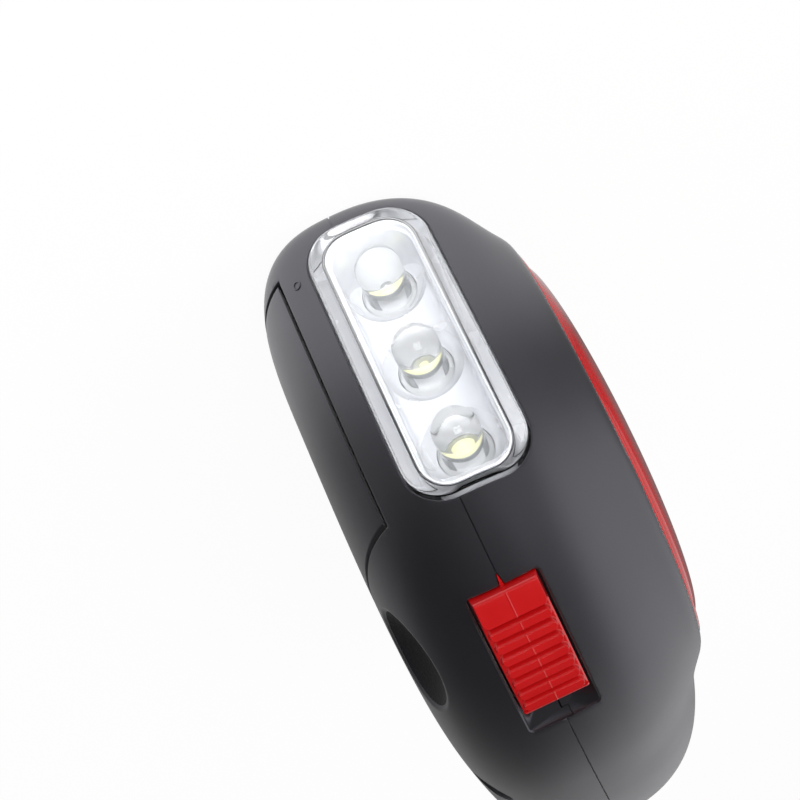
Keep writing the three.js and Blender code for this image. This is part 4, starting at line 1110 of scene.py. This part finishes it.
# The metal inside a lamp: a cup on its post, a thinner post beside it and a bright base
def make_lamp_frame(name, z):
    front = LAMP_BACK_Y - LAMP_CUP_DEPTH
    post_back = LAMP_BACK_Y - POST_END
    cup = turned(name, "y", (0, z), stepped(front, LAMP_CUP), TINY_ROUND, looped=True)
    pieces = [(cup, "steel")]
    for side in (-1, 1):
        rings = []
        x = side * POST_ASIDE
        for half, y in ((POST_HALF, front + POST_START), (POST_FOOT_HALF, post_back)):
            loop = rounded_loop((x - half, z - half), (x + half, z + half), POST_CORNER, 3, 2)
            rings.append(placed("y", loop, y))
        pieces.append((lofted("%s_post_%d" % (name, side), rings), "steel"))
    radius = LAMP_RADIUS + LAMP_RIM - BASE_INSET
    base = rod(name + "_base", "y", (0, z), radius, post_back, LAMP_BACK_Y - BASE_END, SMALL_ROUND)
    return [(shade(made, SOFT), slot) for made, slot in pieces + [(base, "silvered")]]


def make_phosphor(name, z):
    drop = stepped(LAMP_BACK_Y - LAMP_CUP_DEPTH, PHOSPHOR_DROP)
    return shade(turned(name, "y", (0, z), drop, TINY_ROUND), SOFTER)


# Switch: a surface of heights over a grid, closed below, with a stem and a thin tail that lies in the seam

def smooth_step(values):
    values = np.clip(values, 0, 1)
    return values * values * (3 - 2 * values)


# How far a rounded edge lies below the face it rounds, at a distance from the edge
def edge_drop(distance, radius):
    inside = np.clip(distance / radius, 0, 1)
    return radius * (1 - np.sqrt(1 - (1 - inside) ** 2))


def switch_heights(across, up):
    half = SWITCH_WIDTH / 2
    aside = np.abs(across)[None, :]
    upward = up[:, None]
    flat = slope_height(np.column_stack((np.zeros(len(up)), up)))[:, None] + SWITCH_RISE
    cell = (upward - THUMB_PAD) / RIB_PITCH
    place = cell - np.floor(cell)
    ridge = smooth_step(place / RIB_FRONT) * smooth_step((RIB_END - place) / RIB_BACK)
    ribs = math.floor((SWITCH_LENGTH - THUMB_PAD - RIB_ROOM) / RIB_PITCH)
    reach = np.maximum(np.abs(place - RIB_MIDDLE) * RIB_PITCH - (RIB_HALF * RIB_PITCH - RIB_CORNER), 0)
    over = np.maximum(aside - (half - RIB_MARGIN - RIB_CORNER), 0)
    plateau = smooth_step((RIB_CORNER - np.hypot(reach, over)) / RIB_SLOPE)
    drop = RIB_DEPTH - (RIB_DEPTH - RIB_BELOW_PAD) * ridge * plateau
    reach = np.maximum(upward - (THUMB_PAD - PAD_CORNER), 0)
    over = np.maximum(aside - (half - PAD_CORNER), 0)
    pad = smooth_step((PAD_CORNER - np.hypot(reach, over)) / PAD_EDGE)
    drop = np.where(cell < 0, RIB_DEPTH * (1 - pad), np.where(cell < ribs, drop, RIB_ROOM))
    height = flat - drop - edge_drop(half - aside, SIDE_ROUND) - edge_drop(upward, LOW_ROUND)
    height = height - edge_drop(SWITCH_LENGTH - upward, HIGH_ROUND)
    return height + LINE_RISE * np.exp(-(across / LINE_WIDTH) ** 2)[None, :]


def make_slider():
    half = SWITCH_WIDTH / 2
    quarter = np.linspace(0, QUARTER, 6)
    edge = half - SIDE_ROUND * (1 - np.cos(np.linspace(0, QUARTER, 7)))
    inner = np.linspace(GRID_START, half - GRID_BAND, 14)
    outer = np.linspace(half - GRID_BAND, half - GRID_RIM, 16)
    positive = np.concatenate((GRID_LINE, inner, outer, np.sort(edge)))
    across = np.concatenate((-positive[::-1], [0], positive))
    up = np.concatenate((LOW_ROUND * (1 - np.cos(quarter))[:-1],
                         np.linspace(LOW_ROUND, SWITCH_LENGTH - HIGH_ROUND, 260),
                         SWITCH_LENGTH - HIGH_ROUND * np.cos(quarter)[1:]))
    up = np.unique(np.round(up, 6))
    across = np.unique(np.round(across, 6))
    top = switch_heights(across, up)
    bottom = SNUG - SWITCH_SINK
    rows, columns = top.shape
    pairs = np.column_stack((np.tile(across, rows), np.repeat(up, columns)))
    places = np.vstack([from_slope(placed("z", pairs, level)) for level in (top.ravel(), bottom)])
    lower = rows * columns
    grid = np.arange(lower).reshape(rows, columns)
    upper = np.stack((grid[:-1, :-1], grid[:-1, 1:], grid[1:, 1:], grid[1:, :-1]), axis=-1).reshape(-1, 4)
    rim = np.concatenate((grid[0, :-1], grid[:-1, -1], grid[-1, :0:-1], grid[:0:-1, 0]))
    after = np.roll(rim, -1)
    walls = np.column_stack((rim, lower + rim, lower + after, after))
    faces = np.vstack((upper, lower + upper[:, ::-1], walls)).tolist()
    slider = mesh_object("switch_slider_dressed", places, faces)
    stem_y = (SWITCH_LENGTH - STEM_LENGTH) / 2
    low, high = (-STEM_WIDTH / 2, stem_y), (STEM_WIDTH / 2, stem_y + STEM_LENGTH)
    stem_loop = rounded_loop(low, high, STEM_CORNER, 4, 2)
    stem = slope_prism("stem", stem_loop, -SWITCH_SINK - STEM_DEPTH, bottom + SNUG)
    tail_top = slope_height([[0, TAIL_MIDDLE]])[0] + TAIL_LIFT
    tail = slope_prism("tail", tail_outline(*TAIL_SHAPE), -TAIL_DEPTH, tail_top)
    return shade(joined(slider, stem, tail), SLIDER_SMOOTH)


# Crank

def dome_x(pairs):
    radius = np.hypot(*(np.asarray(pairs) - CRANK_AXIS).T) / ROTOR_RADIUS
    return RIM_X - DOME_RISE * np.maximum(1 - radius ** DOME_POWER, 0) ** (1 / DOME_POWER)


def dome_normals(pairs):
    step = 0.01
    slopes = [(dome_x(pairs + side) - dome_x(pairs - side)) / (2 * step) for side in np.eye(2) * step]
    return unit(np.column_stack((-np.ones(len(pairs)), *slopes)))


# The dome's edge round the handle's recess
def recess_edge():
    half = HANDLE_WIDTH / 2 + HANDLE_GAP
    root = HINGE_Y - NECK_LENGTH + 2 * HANDLE_GAP
    tip = KNOB_Y - KNOB_SWING
    sides = np.linspace(root, tip, 40)
    path = [(y, CRANK_Z + half) for y in sides] + arc((tip, CRANK_Z), half, 90, 270, 48)[1:]
    path = np.array(path + [(y, CRANK_Z - half) for y in sides[-2::-1]])
    points = placed("x", path, dome_x(path))
    middle = (RIM_X, (KNOB_Y + HINGE_Y) / 2, CRANK_Z)
    across = outward(points, dome_normals(path), middle, closed=False)
    return edge_tool(points, across, np.tile([1.0, 0, 0], (len(points), 1)), RECESS_ROUND, closed=False)


def make_disc():
    profile = []
    for angle in bend(40):
        radius = max(ROTOR_RADIUS * math.sin(angle) ** (2 / DOME_POWER), ON_AXIS)
        profile.append((radius, RIM_X - DOME_RISE * max(math.cos(angle), 0) ** (2 / DOME_POWER)))
    profile.extend([(ROTOR_RADIUS, DISC_BACK_X), (DRUM_RADIUS, DISC_BACK_X), (DRUM_RADIUS, DRUM_END_X),
                    (ON_AXIS, DRUM_END_X)])
    disc = turned("crank_disc_dressed", "x", CRANK_AXIS, profile)
    far = RIM_X - OVERRUN
    knob_gap = KNOB_RADIUS + HANDLE_GAP
    stadium = arc(KNOB_AXIS, knob_gap, -90, 90, 40) + arc(KNOB_WELL_AXIS, knob_gap, 90, 270, 40)
    half = BARREL_WIDTH / 2 + HANDLE_GAP
    reach = BARREL_RADIUS + HANDLE_GAP
    low = (far, HINGE_Y - NECK_LENGTH - HANDLE_GAP, CRANK_Z - half)
    cut(disc, prism("recess", "x", handle_loop(HANDLE_GAP), far, HANDLE_FLOOR_X),
        prism("knob_well", "x", stadium, far, KNOB_WELL_X),
        box("notch", low, (HINGE_X + reach, HINGE_Y + reach, CRANK_Z + half)),
        box("neck_room", low, (HANDLE_FLOOR_X, HINGE_Y, CRANK_Z + half)),
        rod("bore", "x", CRANK_AXIS, AXLE_RADIUS + RUNNING, HANDLE_FLOOR_X + WALL, DRUM_END_X + OVERRUN,
            SMALL_ROUND),
        recess_edge())
    for side in (-1, 1):
        middle = CRANK_Z + side * (half + LUG_WIDTH / 2)
        low, high = middle - LUG_WIDTH / 2, middle + LUG_WIDTH / 2
        joined(disc, soft_rod("lug", "z", HINGE_AXIS, BARREL_RADIUS, low, high, LUG_ROUND),
               box("lug_foot", (HINGE_X, HINGE_Y - BARREL_RADIUS, low),
                   (RIM_X + LUG_FOOT, HINGE_Y + BARREL_RADIUS, high)))
    cut(disc, hinge_bore(half + LUG_WIDTH + OVERRUN))
    shade(disc, CRISP)
    places = places_of(disc.data)
    flat = places[:, 1:]
    near = np.abs(places[:, 0] - dome_x(flat)) < ON_DOME
    near &= np.hypot(*(flat - CRANK_AXIS).T) < ROTOR_RADIUS - DOME_MARGIN
    set_exact_normals(disc.data, near, dome_normals(flat))
    return disc


def hinge_bore(reach):
    return rod("pin_bore", "z", HINGE_AXIS, HINGE_PIN + RUNNING, CRANK_Z - reach, CRANK_Z + reach,
               SMALL_ROUND)


def soft_rod(name, axis, centre, radius, start, end, edge):
    profile = [(ON_AXIS, start), *round_end(radius, start, edge, 1), *round_end(radius, end, edge, -1),
               (ON_AXIS, end)]
    return turned(name, axis, centre, profile, SMALL_ROUND)


def make_handle():
    handle = soft_prism("crank_handle_dressed", "x", handle_loop, HANDLE_OUTER_X, HANDLE_INNER_X,
                        HANDLE_OUTER_ROUND, HANDLE_INNER_ROUND)
    half = BARREL_WIDTH / 2
    neck_x = max(HINGE_X + BARREL_RADIUS, HANDLE_OUTER_X + HANDLE_THICKNESS / 2)
    low, high = CRANK_Z - half, CRANK_Z + half
    joined(handle, soft_rod("barrel", "z", HINGE_AXIS, BARREL_RADIUS, low, high, SMALL_BEVEL),
           box("neck", (HANDLE_OUTER_X, HINGE_Y - NECK_LENGTH - WALL, CRANK_Z - half),
               (neck_x, HINGE_Y, CRANK_Z + half)))
    front = HANDLE_OUTER_X
    seat = KNOB_PIN_HEAD_RADIUS + SNUG
    bevel = 0.25
    seat_profile = [(seat + bevel, front - OVERRUN), (seat + bevel, front), (seat, front + bevel),
                    (seat, front + KNOB_PIN_HEAD + SNUG)]
    cut(handle, hinge_bore(HANDLE_WIDTH),
        rod("knob_hole", "x", KNOB_AXIS, KNOB_PIN + RUNNING, front - OVERRUN, OVERRUN, SMALL_ROUND),
        turned("head_seat", "x", KNOB_AXIS, seat_profile, SMALL_ROUND))

    def dish_loop(grow):
        reach = DISH_HALF + grow
        low = (KNOB_Y + KNOB_RADIUS + DISH_GAP - grow, CRANK_Z - reach)
        high = (HINGE_Y - NECK_LENGTH - DISH_HALF + grow, CRANK_Z + reach)
        return rounded_loop(low, high, reach, side_steps=8)

    cut(handle, soft_prism("dish", "x", dish_loop, front - WALL, front + DISH_DEPTH, TINY_EDGE, DISH_ROUND))
    return shade(handle, BODY_SMOOTH)


def make_knob():
    start, end = KNOB_START_X, KNOB_END_X
    edge = KNOB_WAIST
    profile = [(ON_AXIS, start), (KNOB_RADIUS - SMALL_BEVEL, start), (KNOB_RADIUS, start + SMALL_BEVEL)]
    for share in np.linspace(0, 1, 17):
        hollow = math.sin(math.pi * share) ** KNOB_HOLLOW_POWER if 0 < share < 1 else 0
        profile.append((KNOB_RADIUS - KNOB_WAIST * hollow, start + edge + (KNOB_LENGTH - 2 * edge) * share))
    profile.extend([*round_end(KNOB_RADIUS, end, edge, -1), (ON_AXIS, end)])
    knob = turned("crank_knob_dressed", "x", KNOB_AXIS, profile, 96)
    cut(knob, rod("bore", "x", KNOB_AXIS, KNOB_PIN + RUNNING, start - OVERRUN, end - edge, SMALL_ROUND))
    return shade(knob, SOFT)


def make_knob_pin():
    start = HANDLE_OUTER_X + SNUG
    tip = KNOB_END_X - KNOB_WAIST - SNUG
    head = KNOB_PIN_HEAD_RADIUS
    bevel = SMALL_BEVEL
    profile = [(ON_AXIS, start)]
    for inset, drop in (*KNOB_PIN_DOME, (0, KNOB_PIN_HEAD)):
        profile.append((head - inset, start + drop))
    profile.extend([(KNOB_PIN, start + KNOB_PIN_HEAD), (KNOB_PIN, tip - bevel), (KNOB_PIN - bevel, tip),
                    (ON_AXIS, tip)])
    return shade(turned("knob_pin_dressed", "x", KNOB_AXIS, profile, SMALL_ROUND), SOFTER)


def make_hinge_pin():
    reach = BARREL_WIDTH / 2 + HANDLE_GAP + LUG_WIDTH - SNUG
    pin = soft_rod("handle_pin_dressed", "z", HINGE_AXIS, HINGE_PIN, CRANK_Z - reach, CRANK_Z + reach,
                   SMALL_BEVEL)
    return shade(pin, SOFTER)


def make_ring():
    inner = RING_RADIUS - RING_WIDTH
    front = RIM_X - SNUG
    back = front + RING_THICKNESS
    edge = 0.3
    profile = arc((inner + edge, front + edge), edge, 180, 270, 5)
    profile += arc((RING_RADIUS - edge, front + edge), edge, -90, 0, 5)
    profile += [(RING_RADIUS, back), (inner, back)]
    return shade(turned("crank_ring_dressed", "x", CRANK_AXIS, profile, looped=True), SOFT)


def make_screw(name, centre):
    front = SCREW_SINK_X
    back = front - SCREW_HEAD
    tip = back - SCREW_LENGTH
    radius = SCREW_HEAD_RADIUS
    profile = [(ON_AXIS, front)]
    profile += [(radius * share, front - drop) for share, drop in SCREW_DOME]
    profile += [(radius, back), (SCREW_SHANK, back), (SCREW_SHANK, tip + SCREW_POINT), (SCREW_TIP, tip),
                (ON_AXIS, tip)]
    screw = turned(name, "x", centre, profile, SMALL_ROUND)
    arm = radius * CROSS_SHARE
    for a, b in ((arm, CROSS_WIDTH / 2), (CROSS_WIDTH / 2, arm)):
        cut(screw, box("cross", (front - CROSS_DEPTH, centre[0] - a, centre[1] - b),
                       (front + OVERRUN, centre[0] + a, centre[1] + b)))
    return shade(screw, SOFT)


# Moulding mark: a small raised ring on the left side of the nose
def make_pip():
    centre = onto_nose([PIP_PLACE])[0]
    normal = body_normals(centre[None, :])[0]
    turn = np.linspace(0, 2 * math.pi, PIP_SIDES + 1)[:-1, None]
    rings = []
    for spoke in spokes_round(normal, PIP_POINTS):
        rings.append(centre + PIP_RADIUS * spoke + PIP_WIRE * (np.cos(turn) * spoke + np.sin(turn) * normal))
    return shade(lofted("moulding_mark", rings, looped=True), 180)


# Materials

def linear(level):
    return level / 12.92 if level <= 0.04045 else ((level + 0.055) / 1.055) ** 2.4


def rgb(red, green, blue):
    return [linear(level / 255) for level in (red, green, blue)] + [1]


# Adds a node. Each value in inputs is a number or colour for a socket, or the output that feeds it.
def add_node(tree, kind, inputs, **settings):
    node = tree.nodes.new("ShaderNode" + kind)
    for setting, value in settings.items():
        setattr(node, setting, value)
    for socket, value in inputs.items():
        if isinstance(value, bpy.types.NodeSocket):
            tree.links.new(value, node.inputs[socket])
        else:
            node.inputs[socket].default_value = value
    return node.outputs


def new_material(name, values):
    material = bpy.data.materials.new(name)
    material.use_nodes = True
    shader = material.node_tree.nodes["Principled BSDF"]
    for socket, value in values.items():
        shader.inputs[socket].default_value = value
    return material, material.node_tree, shader


# Noise in object space, in cycles per millimetre
def add_noise(tree, per_mm, detail, roughness=0.5):
    place = add_node(tree, "TexCoord", {})["Object"]
    return add_node(tree, "TexNoise", {"Scale": per_mm / METRE, "Detail": detail, "Roughness": roughness,
                                       "Vector": place})["Fac"]


# Relief from one pattern; roughness and colour between two limits from the same pattern or from another
def vary(tree, shader, pattern, relief, rough, colours, patches=None):
    height_mm, strength = relief
    bump = add_node(tree, "Bump", {"Strength": strength, "Distance": height_mm * METRE, "Height": pattern})
    tree.links.new(bump["Normal"], shader.inputs["Normal"])
    spread = patches or pattern
    if rough:
        low, high = rough
        spread_rough = add_node(tree, "MapRange", {"To Min": low, "To Max": high, "Value": spread})
        tree.links.new(spread_rough["Result"], shader.inputs["Roughness"])
    first, second = colours
    colour = add_node(tree, "Mix", {"A": first, "B": second, "Factor": spread}, data_type="RGBA")
    tree.links.new(colour["Result"], shader.inputs["Base Color"])


def noisy(name, noise, relief, rough, colours, patches=None, values=()):
    material, tree, shader = new_material(name, dict(values))
    other = add_noise(tree, *patches) if patches else None
    vary(tree, shader, add_noise(tree, *noise), relief, rough, colours, other)
    return material


# Lets the light of the lamps through, which refraction alone would stop
def lamp_lit(material):
    tree = material.node_tree
    surface = tree.nodes["Principled BSDF"].outputs["BSDF"]
    shadow = add_node(tree, "LightPath", {})["Is Shadow Ray"]
    clear = add_node(tree, "BsdfTransparent", {})["BSDF"]
    mix = add_node(tree, "MixShader", {"Fac": shadow, 1: surface, 2: clear})
    tree.links.new(mix["Shader"], tree.nodes["Material Output"].inputs["Surface"])
    return material


def metal(name, first, second, low, high):
    return noisy(name, (1.5, 3), (0.01, 0.4), (low, high), (first, second), values={"Metallic": 1})


# Copper wire: bands round the generator's axle
def copper():
    material, tree, shader = new_material("copper", {"Metallic": 1})
    place = add_node(tree, "TexCoord", {})["Object"]
    bands = add_node(tree, "TexWave", {"Scale": 1.3 / METRE, "Distortion": 0.4, "Vector": place},
                     bands_direction="X")
    vary(tree, shader, bands["Fac"], (0.06, 0.9), (0.38, 0.25), (rgb(120, 58, 26), rgb(196, 110, 60)))
    return material


STOCK = {
    "black_plastic": noisy(
        "black_plastic", (9, 3, 0.6), (0.012, 0.6), (0.36, 0.46), (rgb(16, 16, 19), rgb(22, 22, 26)),
        (0.12, 2),
        {"Sheen Weight": 0.15, "Sheen Roughness": 0.4, "Specular IOR Level": 1, "IOR": 1.8,
         "Specular Tint": (0.92, 0.91, 1, 1)}),
    "red_plastic": noisy(
        "red_plastic", (0.7, 2), (0.02, 0.15), (0.2, 0.3), (rgb(162, 9, 12), rgb(172, 14, 16)), (0.25, 2),
        {"Coat Weight": 0.8, "Coat Roughness": 0.05, "Coat IOR": 1.7, "Subsurface Weight": 0.06,
         "Subsurface Radius": (1, 0.2, 0.1), "Subsurface Scale": 0.3 * METRE}),
    "clear_plastic": lamp_lit(noisy(
        "clear_plastic", (0.35, 1), (0.02, 0.12), (0.0, 0.03), ((0.97, 0.98, 1, 1), (0.99, 0.99, 1, 1)),
        values={"Transmission Weight": 1, "IOR": 1.49})),
    "lamp_resin": lamp_lit(noisy(
        "lamp_resin", (0.6, 1), (0.01, 0.1), (0.0, 0.04), ((0.98, 0.99, 0.97, 1), (1, 1, 0.98, 1)),
        values={"Transmission Weight": 0.9, "IOR": 1.42})),
    "silvered": noisy(
        "silvered", (0.3, 1), (0.04, 0.3), (0.22, 0.3), (rgb(229, 231, 236), rgb(244, 245, 247)),
        values={"Metallic": 0.25}),
    "steel": metal("steel", rgb(172, 174, 176), rgb(200, 202, 204), 0.26, 0.42),
    "brass": metal("brass", rgb(186, 150, 78), rgb(214, 178, 98), 0.22, 0.4),
    "copper": copper(),
    "gear_plastic": noisy(
        "gear_plastic", (2.5, 3), (0.01, 0.5), (0.4, 0.55), (rgb(224, 220, 206), rgb(236, 233, 222))),
    "board_green": noisy(
        "board_green", (0.8, 3), (0.01, 0.5), (0.3, 0.45), (rgb(24, 92, 50), rgb(34, 116, 62))),
}
PHOSPHOR = noisy("phosphor", (8, 2), (0.02, 0.4), None, (rgb(240, 238, 180), rgb(248, 247, 205)),
                 values={"Roughness": 0.6})
GRIP = noisy("grip", (3, 3, 0.7), (0.08, 0.8), (0.5, 0.7), (rgb(10, 10, 12), rgb(26, 26, 30)),
             values={"Specular IOR Level": 0.3, "Sheen Weight": 0.05})


def dress(made, slot, body, *nodes, look=None):
    made.data.materials.clear()
    made.data.materials.append(look or STOCK[slot])
    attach(made, body)
    if nodes:
        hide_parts(*nodes)


# Putting the pieces in place

dress(make_left_shell(), "black_plastic", "body", "shell_left")
dress(make_right_shell(), "black_plastic", "body", "shell_right")
dress(make_pip(), "black_plastic", "body")
dress(make_scoop_lining(), "black_plastic", "body", look=GRIP)
dress(make_cover(), "black_plastic", "cover", "battery_cover")
dress(make_lens(), "clear_plastic", "body", "lens")
dress(make_reflector(), "silvered", "body", "reflector")
for number, lamp_z in enumerate(lamp_heights(), 1):
    dress(make_lamp("led_%d_dressed" % number, lamp_z), "lamp_resin", "body", "led_%d" % number)
    for metal_piece, slot in make_lamp_frame("led_frame_%d" % number, lamp_z):
        dress(metal_piece, slot, "body")
    dress(make_phosphor("led_phosphor_%d" % number, lamp_z), "lamp_resin", "body", look=PHOSPHOR)
dress(make_slider(), "red_plastic", "slider", "switch_slider")
dress(make_ring(), "red_plastic", "body", "crank_ring")
dress(make_disc(), "red_plastic", "crank", "crank_disc")
dress(make_handle(), "red_plastic", "handle", "crank_handle")
dress(make_knob(), "black_plastic", "knob", "crank_knob")
dress(make_knob_pin(), "steel", "handle", "knob_pin")
dress(make_hinge_pin(), "steel", "crank", "handle_pin")
for number, spot in enumerate(CASE_SCREWS, 1):
    dress(make_screw("case_screw_%d_dressed" % number, spot), "steel", "body", "case_screw_%d" % number)

slots = {node: part["slot"] for part in frame["record"]["materials"] for node in part.get("nodes", [])}
for node, made in frame["nodes"].items():
    if not made.hide_render:
        made.data.materials.clear()
        made.data.materials.append(STOCK[slots.get(node, "steel")])


# Camera, floor and light

CAMERA_PLACE = (0.19016, -192.93818, 100.64597)
CAMERA_RIGHT = (-0.90150687, 0.22416505, 0.37018292)
CAMERA_UP = (-0.4322253, -0.42368538, -0.79603517)
CAMERA_BACK = (-0.02160217, -0.8776336, 0.47884509)
CAMERA_FOCAL_PX = 1619.0
PICTURE_PX = 800
SENSOR = 36
NEAREST = 5
FLOOR_HALF = 1500
FLOOR_GLOW = 0.95
SHEEN_SPOT = (4, -58, 0)
SHEEN_NEAR = 22
SHEEN_FAR = 60
SHEEN_LOW = 0.18
OPENING_TOWARDS = (0.9, -0.2, 0.4)
OPENING_FROM = -0.3
OPENING_TO = 0.25
OPENING_DARK = 0.03
PLAIN_STRENGTH = 0.62
LAMPS_AIM = (0, -30, 25)


def make_camera():
    lens = bpy.data.cameras.new("camera")
    lens.sensor_width = SENSOR
    lens.lens = CAMERA_FOCAL_PX / PICTURE_PX * SENSOR
    lens.clip_start = NEAREST * METRE
    camera = added(bpy.data.objects.new("camera", lens))
    turn = Matrix((CAMERA_RIGHT, CAMERA_UP, CAMERA_BACK)).transposed().to_4x4()
    turn.translation = Vector(CAMERA_PLACE) * METRE
    camera.matrix_world = turn
    bpy.context.scene.camera = camera


# White to the camera and behind glass, brightest under the nose in reflections, plain to all other light
def make_floor():
    half = FLOOR_HALF
    places = [(-half, -half, 0), (half, -half, 0), (half, half, 0), (-half, half, 0)]
    floor = mesh_object("floor", places, [(0, 1, 2, 3)])
    if floor.data.polygons[0].normal.z < 0:
        floor.data.flip_normals()
    material, tree, shader = new_material("floor", {"Base Color": (0.9, 0.9, 0.9, 1), "Roughness": 0.8})
    path = add_node(tree, "LightPath", {})
    place = add_node(tree, "TexCoord", {})["Object"]
    away = add_node(tree, "VectorMath", {0: place, 1: Vector(SHEEN_SPOT) * METRE}, operation="DISTANCE")
    bright = add_node(tree, "MapRange", {"From Min": SHEEN_NEAR * METRE, "From Max": SHEEN_FAR * METRE,
                                         "To Min": 1, "To Max": SHEEN_LOW, "Value": away["Value"]})
    strength = add_node(tree, "Mix", {"A": 1, "B": bright["Result"], "Factor": path["Is Glossy Ray"]})
    glow = add_node(tree, "Emission", {"Strength": strength["Result"]})
    clear = add_node(tree, "Math", {0: path["Is Camera Ray"], 1: path["Is Transmission Ray"]},
                     operation="MAXIMUM")
    part = add_node(tree, "Math", {0: clear[0], 1: FLOOR_GLOW}, operation="MULTIPLY")
    total = add_node(tree, "Math", {0: part[0], 1: path["Is Glossy Ray"]}, operation="ADD")
    mix = add_node(tree, "MixShader", {"Fac": total[0], 1: shader.outputs["BSDF"], 2: glow["Emission"]})
    tree.links.new(mix["Shader"], tree.nodes["Material Output"].inputs["Surface"])
    floor.data.materials.append(material)


# The world is a white tent with a soft dark opening towards the front
def make_world():
    world = bpy.data.worlds.new("world")
    bpy.context.scene.world = world
    world.use_nodes = True
    tree = world.node_tree
    tree.nodes.clear()
    place = add_node(tree, "TexCoord", {})["Generated"]
    towards = Vector(OPENING_TOWARDS).normalized()
    product = add_node(tree, "VectorMath", {0: place, 1: towards}, operation="DOT_PRODUCT")
    opening = add_node(tree, "MapRange", {"From Min": OPENING_FROM, "From Max": OPENING_TO, "To Min": 1,
                                          "To Max": OPENING_DARK, "Value": product["Value"]},
                       interpolation_type="SMOOTHSTEP")
    tent = add_node(tree, "Background", {"Strength": opening["Result"]})[0]
    seen = add_node(tree, "Background", {"Strength": PLAIN_STRENGTH})[0]
    white = add_node(tree, "Background", {"Strength": 1})[0]
    path = add_node(tree, "LightPath", {})
    for ray, light in (("Is Glossy Ray", tent), ("Is Transmission Ray", white), ("Is Camera Ray", white)):
        seen = add_node(tree, "MixShader", {"Fac": path[ray], 1: seen, 2: light})[0]
    add_node(tree, "OutputWorld", {"Surface": seen})


def make_lamp_light(name, place, size, power):
    light = bpy.data.lights.new(name, "AREA")
    light.size = size * METRE
    light.energy = power
    made = added(bpy.data.objects.new(name, light))
    made.location = Vector(place) * METRE
    made.visible_glossy = False
    towards = Vector(LAMPS_AIM) * METRE - made.location
    made.rotation_euler = towards.to_track_quat("-Z", "Y").to_euler()


make_camera()
make_floor()
make_world()
make_lamp_light("key", (-60, -430, 230), 280, 1.7)
make_lamp_light("fill", (-280, -120, 420), 260, 0.7)
bpy.context.scene.view_settings.view_transform = "Standard"
